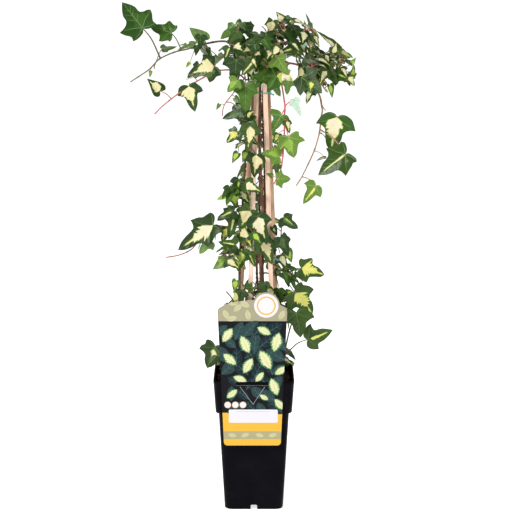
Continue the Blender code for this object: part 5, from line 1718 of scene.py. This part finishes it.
def build_soil():
    """Uneven potting mix, strewn with bark and crumbs."""
    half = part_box("soil")[1].x / MM
    steps = 44
    bm = bmesh.new()
    bmesh.ops.create_grid(bm, x_segments=steps, y_segments=steps, size=half)
    chance = random.Random("soil")
    for vert in bm.verts:
        x, y = vert.co.x, vert.co.y
        corner = max(0.0, math.hypot(max(abs(x) - half + CORNER_RADIUS, 0),
                                     max(abs(y) - half + CORNER_RADIUS, 0)) - CORNER_RADIUS + 2)
        if corner:
            vert.co.xy *= 1 - corner / half / 1.6
        edge = max(abs(x), abs(y)) / half
        height = (1.1 * math.sin(x * 0.16 + 1) * math.cos(y * 0.13) + 0.7 * math.sin(x * 0.41 + y * 0.33)
                  + chance.uniform(-0.7, 0.7) - 2.6 * edge ** 6)
        vert.co.z = SOIL_TOP - 0.8 + height
    bm.normal_update()
    border = [edge for edge in bm.edges if edge.is_boundary]
    skirt = bmesh.ops.extrude_edge_only(bm, edges=border)["geom"]
    for item in skirt:
        if isinstance(item, bmesh.types.BMVert):
            item.co.z = SOIL_TOP - 9
    bmesh.ops.holes_fill(bm, edges=[edge for edge in bm.edges if edge.is_boundary])
    bmesh.ops.recalc_face_normals(bm, faces=bm.faces[:])
    soil = as_piece("soil_bed", bm, "potting_soil")
    soil.data.shade_smooth()
    settle(soil, "potting_soil", "soil")
    for skin, (density, size, flatness, seed) in CRUMBS.items():
        strewn = grow(skin + "s", soil.data.copy(), "scatter", density=density, size=size * MM,
                      flatness=flatness, least=0.5, seed=seed, skin=SKINS[skin])
        settle(strewn, "potting_soil")


def cane_ends(name):
    return [Vector(end) for end in CANES[name]]


def build_canes():
    """Planed square canes with worn corners, a little uneven, rough where they were cut."""
    for name in CANES:
        chance = random.Random(name)
        foot, top = cane_ends(name)
        along = (top - foot).normalized()
        foot = foot - along * 12
        length = (top - foot).length
        turn = UP.rotation_difference(along).to_matrix()
        across, beside = turn @ Vector((1, 0, 0)), turn @ Vector((0, 1, 0))
        half, worn = CANE_SIDE / 2, 0.7
        section = []
        for k in range(4):
            spin = Matrix.Rotation(math.radians(90 * k), 2)
            section += [spin @ Vector(point) for point in (
                (half, -half + worn), (half + 0.02, 0), (half, half - worn),
                (half - worn * 0.3, half - worn * 0.3))]
        rings = int(length / 7) + 1
        bm = bmesh.new()
        layer = bm.loops.layers.uv.new("grain")
        rows = []
        for k in range(rings + 1):
            middle = foot + along * (length * k / rings)
            sway = across * math.sin(k * 0.21 + len(name)) * 0.18 + beside * math.cos(k * 0.17) * 0.18
            row = []
            for i, point in enumerate(section):
                rough = 1 + chance.uniform(-0.012, 0.012) + 0.01 * math.sin(k * 0.5 + i)
                place = middle + sway + (across * point.x + beside * point.y) * rough
                if k == rings:
                    place = place - along * chance.uniform(0, 0.5)
                row.append(bm.verts.new(place))
            rows.append(row)
        count = len(section)
        for k, (low, high) in enumerate(zip(rows, rows[1:])):
            for i in range(count):
                after = (i + 1) % count
                face = bm.faces.new((low[i], low[after], high[after], high[i]))
                corners = ((i, k), (i + 1, k), (i + 1, k + 1), (i, k + 1))
                for loop, (u, v) in zip(face.loops, corners):
                    loop[layer].uv = ((u / count + chance_offset(name)) * 4 * CANE_SIDE * MM,
                                      v * length / rings * MM)
        bm.faces.new(rows[0][::-1]).material_index = 1
        bm.faces.new(rows[-1]).material_index = 1
        # The back canes take the darker copy of the wood, which paints shade on them
        wood = "cane_aged" if "back" in name else "cane_wood"
        cane = as_piece(name + "_wood", bm, wood, "cane_end")
        cane.data.shade_smooth()
        cane.data.set_sharp_from_angle(angle=math.radians(50))
        settle(cane, "cane_wood", name)


def chance_offset(name):
    """A shift of the grain, so that no two canes look alike."""
    return random.Random("grain " + name).randint(0, 40)


def build_ties():
    """Coated wire drawn round the canes, its two ends twisted together."""
    for name, (height, canes) in TIES.items():
        gap = CANE_SIDE / 2 + GAP + TIE_RADIUS
        corners = []
        for cane in canes:
            foot, top = cane_ends(cane)
            middle = foot.lerp(top, (height - foot.z) / (top.z - foot.z))
            for x, y in ((-1, -1), (1, -1), (1, 1), (-1, 1)):
                corners.append(Vector((middle.x + x * gap, middle.y + y * gap)))
        hull = [corners[k] for k in convex_hull_2d(corners)]
        first = min(range(len(hull)), key=lambda k: hull[k].y - hull[k].x)
        hull = hull[first:] + hull[:first]
        loop = []
        for a, b in zip(hull, hull[1:] + hull[:1]):
            loop += [a.lerp(b, 0.12), a.lerp(b, 0.5), a.lerp(b, 0.88)]
        start = loop[0].to_3d() + UP * height
        out = Vector((0.75, -0.6, -0.25)).normalized()
        ring = [start + out * 1.2 + UP * 0.6, *(point.to_3d() + UP * height for point in loop),
                start + UP * 1.3]
        route = smooth(ring, 1.2)
        lines = [(route, [TIE_RADIUS * 0.95] * len(route))]
        side = out.cross(UP).normalized()
        over = side.cross(out)
        for phase in (0.0, math.pi):
            tail = [start + out * (0.4 * k) + (side * math.cos(k * 0.55 + phase)
                    + over * math.sin(k * 0.55 + phase)) * (0.62 + 0.05 * max(0, k - 17))
                    for k in range(24)]
            lines.append((tail, [TIE_RADIUS * 0.8] * len(tail)))
        tie = grow(name + "_wire", line_mesh(name, lines), "limbs", sides=10, relief=0.0,
                   grain=500.0, skin=SKINS["tie_wire"])
        tie.data.shade_smooth()
        settle(tie, "tie_wire", name)


def arc(centre, radius, start, end, steps):
    """Points on a round arc between two angles in degrees."""
    angles = [math.radians(start + (end - start) * k / steps) for k in range(steps + 1)]
    return [(centre[0] + radius * math.cos(a), centre[1] + radius * math.sin(a)) for a in angles]


def card_half(height):
    """Half the card's width at a height."""
    foot, rim, top = CARD_HALVES
    if height < POT_HEIGHT:
        return foot + (rim - foot) * (height - CARD_FOOT) / (POT_HEIGHT - CARD_FOOT)
    return rim + (top - rim) * (height - POT_HEIGHT) / (CARD_TOP - POT_HEIGHT)


def card_sides():
    """The card's outline with round lower corners, a bowed top and its round tab."""
    foot, _, top = CARD_HALVES
    middle, bend = CARD_MIDDLE, 5.0
    low = CARD_FOOT
    points = arc((middle - foot + bend, low + bend), bend, 180, 270, 6)
    points += arc((middle + foot - bend, low + bend), bend, 270, 360, 6)
    points += [(middle + card_half(POT_HEIGHT), POT_HEIGHT), (middle + card_half(288), 288)]
    points += arc((middle + top - 7, 290), 6, 0, 50, 4)
    start = math.degrees(math.asin((CARD_TOP + 1.5 - TAB_CENTRE[1]) / TAB_RADIUS))
    points += arc(TAB_CENTRE, TAB_RADIUS, start, 155, 22)
    for share in (0.30, 0.45, 0.6, 0.75, 0.88):
        across = middle + top - 2 * top * share
        points.append((across, CARD_TOP + CARD_CROWN * math.sin(math.pi * min(share + 0.06, 1)) ** 0.8))
    points += arc((middle - top + 7, 289), 6.4, 120, 180, 4)
    points.append((middle - card_half(POT_HEIGHT), POT_HEIGHT))
    return points


def band(low, high):
    """A strip across the whole card between two heights."""
    a, b = card_half(low) + 2, card_half(high) + 12
    return [(CARD_MIDDLE - b, low), (CARD_MIDDLE + b, low), (CARD_MIDDLE + b, high), (CARD_MIDDLE - b, high)]


def round_box(left, right, low, high, bend, steps=4):
    return (arc((left + bend, low + bend), bend, 180, 270, steps)
            + arc((right - bend, low + bend), bend, 270, 360, steps)
            + arc((right - bend, high - bend), bend, 0, 90, steps)
            + arc((left + bend, high - bend), bend, 90, 180, steps))


def petal(x, y, length, width, lean, teeth=0, chance=None):
    """A plain pointed oval, smooth or toothed: the shape that the print repeats."""
    turn = Matrix.Rotation(math.radians(lean), 2)
    steps = 2 * teeth if teeth else 9
    sides = []
    for hand in (1, -1):
        side = []
        for k in range(steps + 1):
            share = k / steps
            swell = math.sin(math.pi * share) ** 0.8
            if teeth and 0 < k < steps:
                swell *= chance.uniform(0.5, 0.8) if k % 2 else chance.uniform(0.85, 1.15)
            side.append(Vector((hand * width / 2 * swell, length * (share - 0.5))))
        sides.append(side)
    whole = sides[0] + sides[1][-2:0:-1]
    place = Vector((x, y))
    return [tuple(turn @ point + place) for point in whole]


def petal_veins(x, y, length, width, lean):
    """A midrib and pairs of side veins, as thin strips."""
    turn = Matrix.Rotation(math.radians(lean), 2)
    place = Vector((x, y))
    lines = [(Vector((0, -0.47 * length)), Vector((0, 0.45 * length)), 0.75)]
    for k in range(3):
        base = Vector((0, (0.24 * k - 0.30) * length))
        for hand in (1, -1):
            lines.append((base, base + Vector((hand * 0.30 * width, 0.14 * length)), 0.4))
    return [[tuple(turn @ point + place) for point in strip([a, a.lerp(b, 0.5), b], wide, 0.2)]
            for a, b, wide in lines]


def build_card():
    """The hang card: plain bands, a field of simple pointed ovals, blank discs and a blank panel."""
    header, field = CARD_BANDS
    shapes, looks = [], ["card_yellow"]

    def lay(shape, look):
        shapes.append(shape)
        looks.append(look)

    lay(band(field, header), "card_dark")
    lay(band(header, 330), "card_header")
    lay(band(108, 119.5), "card_strip")
    chance = random.Random("card")
    for row in range(7):
        for column in range(5):
            x = CARD_MIDDLE + (column - 2) * 17.5 + (8.7 if row % 2 else 0) - 4 + chance.uniform(-3, 3)
            y = 153 + row * 18.5 + chance.uniform(-3, 3)
            if abs(x - CARD_MIDDLE) > card_half(y) - 3 or y > header - 9:
                continue
            big, lean = chance.uniform(0.8, 1.2), chance.uniform(-70, 70)
            lay(petal(x, y, 26 * big, 15 * big, lean), chance.choice(("card_shade", "card_teal")))
            for vein in petal_veins(x, y, 26 * big, 15 * big, lean):
                lay(vein, "card_vein")
    for x, y, size, lean in FIELD_LEAVES:
        lay(petal(x, y, 25 * size, 14 * size, lean), "card_green")
        lay(petal(x, y, 23 * size, 12.5 * size, lean, 7, chance), "card_pale")
        lay(petal(x, y, 21 * size, 10.5 * size, lean, 6, chance), "card_leaf")
        lay(petal_veins(x, y, 20 * size, 9 * size, lean)[0], "card_leaf_vein")
    for x, y, lean in HEADER_LEAVES:
        lay(petal(x, y, 15, 7.5, lean), "card_header_leaf")
        lay(petal_veins(x, y, 15, 7.5, lean)[0], "card_header")
    for x, y, lean in STRIP_LEAVES:
        lay(petal(x, y, 12, 6, lean), "card_header_leaf")
    for x in (-36, -25.5, -15):
        lay(arc((x, 157.2), 4.7, 0, 345, 23), "card_ring")
        lay(arc((x, 157.2), 4.1, 0, 345, 23), "card_white")
    lay(arc(TAB_CENTRE, TAB_RADIUS - 1.9, 0, 350, 35), "card_white")
    lay(arc(TAB_CENTRE, TAB_RADIUS - 5.5, 0, 350, 35), "card_yellow")
    lay(arc(TAB_CENTRE, TAB_RADIUS - 7.6, 0, 350, 35), "card_white")
    lay(round_box(-34.5, 33, 131.7, 150.6, 2), "card_white")
    lay(round_box(-24, 22, 147.2, 147.9, 0.3, 2), "card_ring")
    for low, high in (((-19, 183), (-1, 158)), ((15, 183), (-1, 158))):
        lay(strip([Vector(low), Vector(high)], 0.55, 0.55), "card_line")
    width, height = SLOT
    slot = [(CARD_MIDDLE - width / 2, POT_HEIGHT - height), (CARD_MIDDLE + width / 2, POT_HEIGHT - height),
            (CARD_MIDDLE + width / 2, POT_HEIGHT), (CARD_MIDDLE - width / 2, POT_HEIGHT)]
    shapes.append(slot)
    looks.append("slot")
    flat, triangles, covers = patchwork(card_sides(), shapes)
    kept, fronts = [], []
    for triangle, cover in zip(triangles, covers):
        top = max(cover) if cover else 0
        if looks[top] != "slot":
            kept.append(triangle)
            fronts.append(looks[top])
    joined = Joined(CARD_COLOURS)
    front = np.column_stack((flat[:, 0], np.full(len(flat), CARD_FRONT), flat[:, 1]))
    back = front + (0, CARD_THICKNESS, 0)
    joined.add_sheet(front, back, np.array(kept), fronts, ["card_back"] * len(kept), "card_back")
    add_tongue(joined)
    settle(joined.piece("hang_card"), "card_print", "label_card")


def add_tongue(joined):
    """The card's tongue, folded over the rim and down inside it."""
    left, right = CARD_MIDDLE - TONGUE_WIDTH / 2, CARD_MIDDLE + TONGUE_WIDTH / 2
    over = POT_HEIGHT + GAP
    inner = -(RIM_HALF - POT_WALL) + GAP + TONGUE_EASE
    path = [(CARD_FRONT + 0.25, over), (inner, over), (inner, over - TONGUE_DROP)]
    outer = [(CARD_FRONT + 0.25, over + CARD_THICKNESS), (inner + CARD_THICKNESS, over + CARD_THICKNESS),
             (inner + CARD_THICKNESS, over - TONGUE_DROP)]
    lower = np.array([(x, y, z) for x in (left, right) for y, z in path])
    upper = np.array([(x, y, z) for x in (left, right) for y, z in outer])
    triangles = np.array([(0, 3, 4), (0, 4, 1), (1, 4, 5), (1, 5, 2)])
    joined.add_sheet(upper, lower, triangles, ["card_back"] * 4, ["card_back"] * 4, "card_back")


def area_light(name, place, aim, width, height, power, colour):
    lamp = bpy.data.lights.new(name, "AREA")
    lamp.shape = "RECTANGLE"
    lamp.size = width
    lamp.size_y = height
    lamp.energy = power
    lamp.color = colour
    made = bpy.data.objects.new(name, lamp)
    made.location = place
    made.rotation_euler = (Vector(aim) - Vector(place)).to_track_quat("-Z", "Y").to_euler()
    bpy.context.scene.collection.objects.link(made)


def build_studio():
    """A pale floor, soft lights and the camera."""
    bm = bmesh.new()
    bmesh.ops.create_grid(bm, x_segments=2, y_segments=2, size=400.0)
    mesh = bpy.data.meshes.new("floor")
    bm.to_mesh(mesh)
    bm.free()
    pale = Skin("floor_pale", (0.9, 0.9, 0.9), 0.9)
    pale.set("Emission Color", (1.0, 1.0, 1.0))
    pale.set("Emission Strength", FLOOR_GLOW)
    mesh.materials.append(pale.material)
    floor = show_piece("floor", mesh)
    world = bpy.data.worlds.new("studio")
    world.use_nodes = True
    plan = Plan(world.node_tree)
    plan.plug((1.0, 1.0, 1.0), world.node_tree.nodes["Background"].inputs["Color"])
    seen = plan.node("ShaderNodeLightPath")
    plan.plug(seen * (1 - SKY_STRENGTH) + SKY_STRENGTH,
              world.node_tree.nodes["Background"].inputs["Strength"])
    bpy.context.scene.world = world
    bpy.context.scene.view_settings.view_transform = "Standard"
    for name, settings in LIGHTS.items():
        area_light(name, *settings)
    camera = bpy.data.cameras.new("camera")
    camera.lens = CAMERA_LENS
    camera.sensor_width = 36.0
    made = bpy.data.objects.new("camera", camera)
    made.location = Vector(CAMERA_PLACE) * MM
    made.rotation_euler = (math.radians(90 - CAMERA_DOWN), 0, 0)
    bpy.context.scene.collection.objects.link(made)
    bpy.context.scene.camera = made


build_studio()
limbs, sprays = grow_plant()
build_leaves(sprays)
build_twigs(sprays, limbs)
build_limbs(limbs)
build_pot()
build_soil()
build_canes()
build_ties()
build_card()
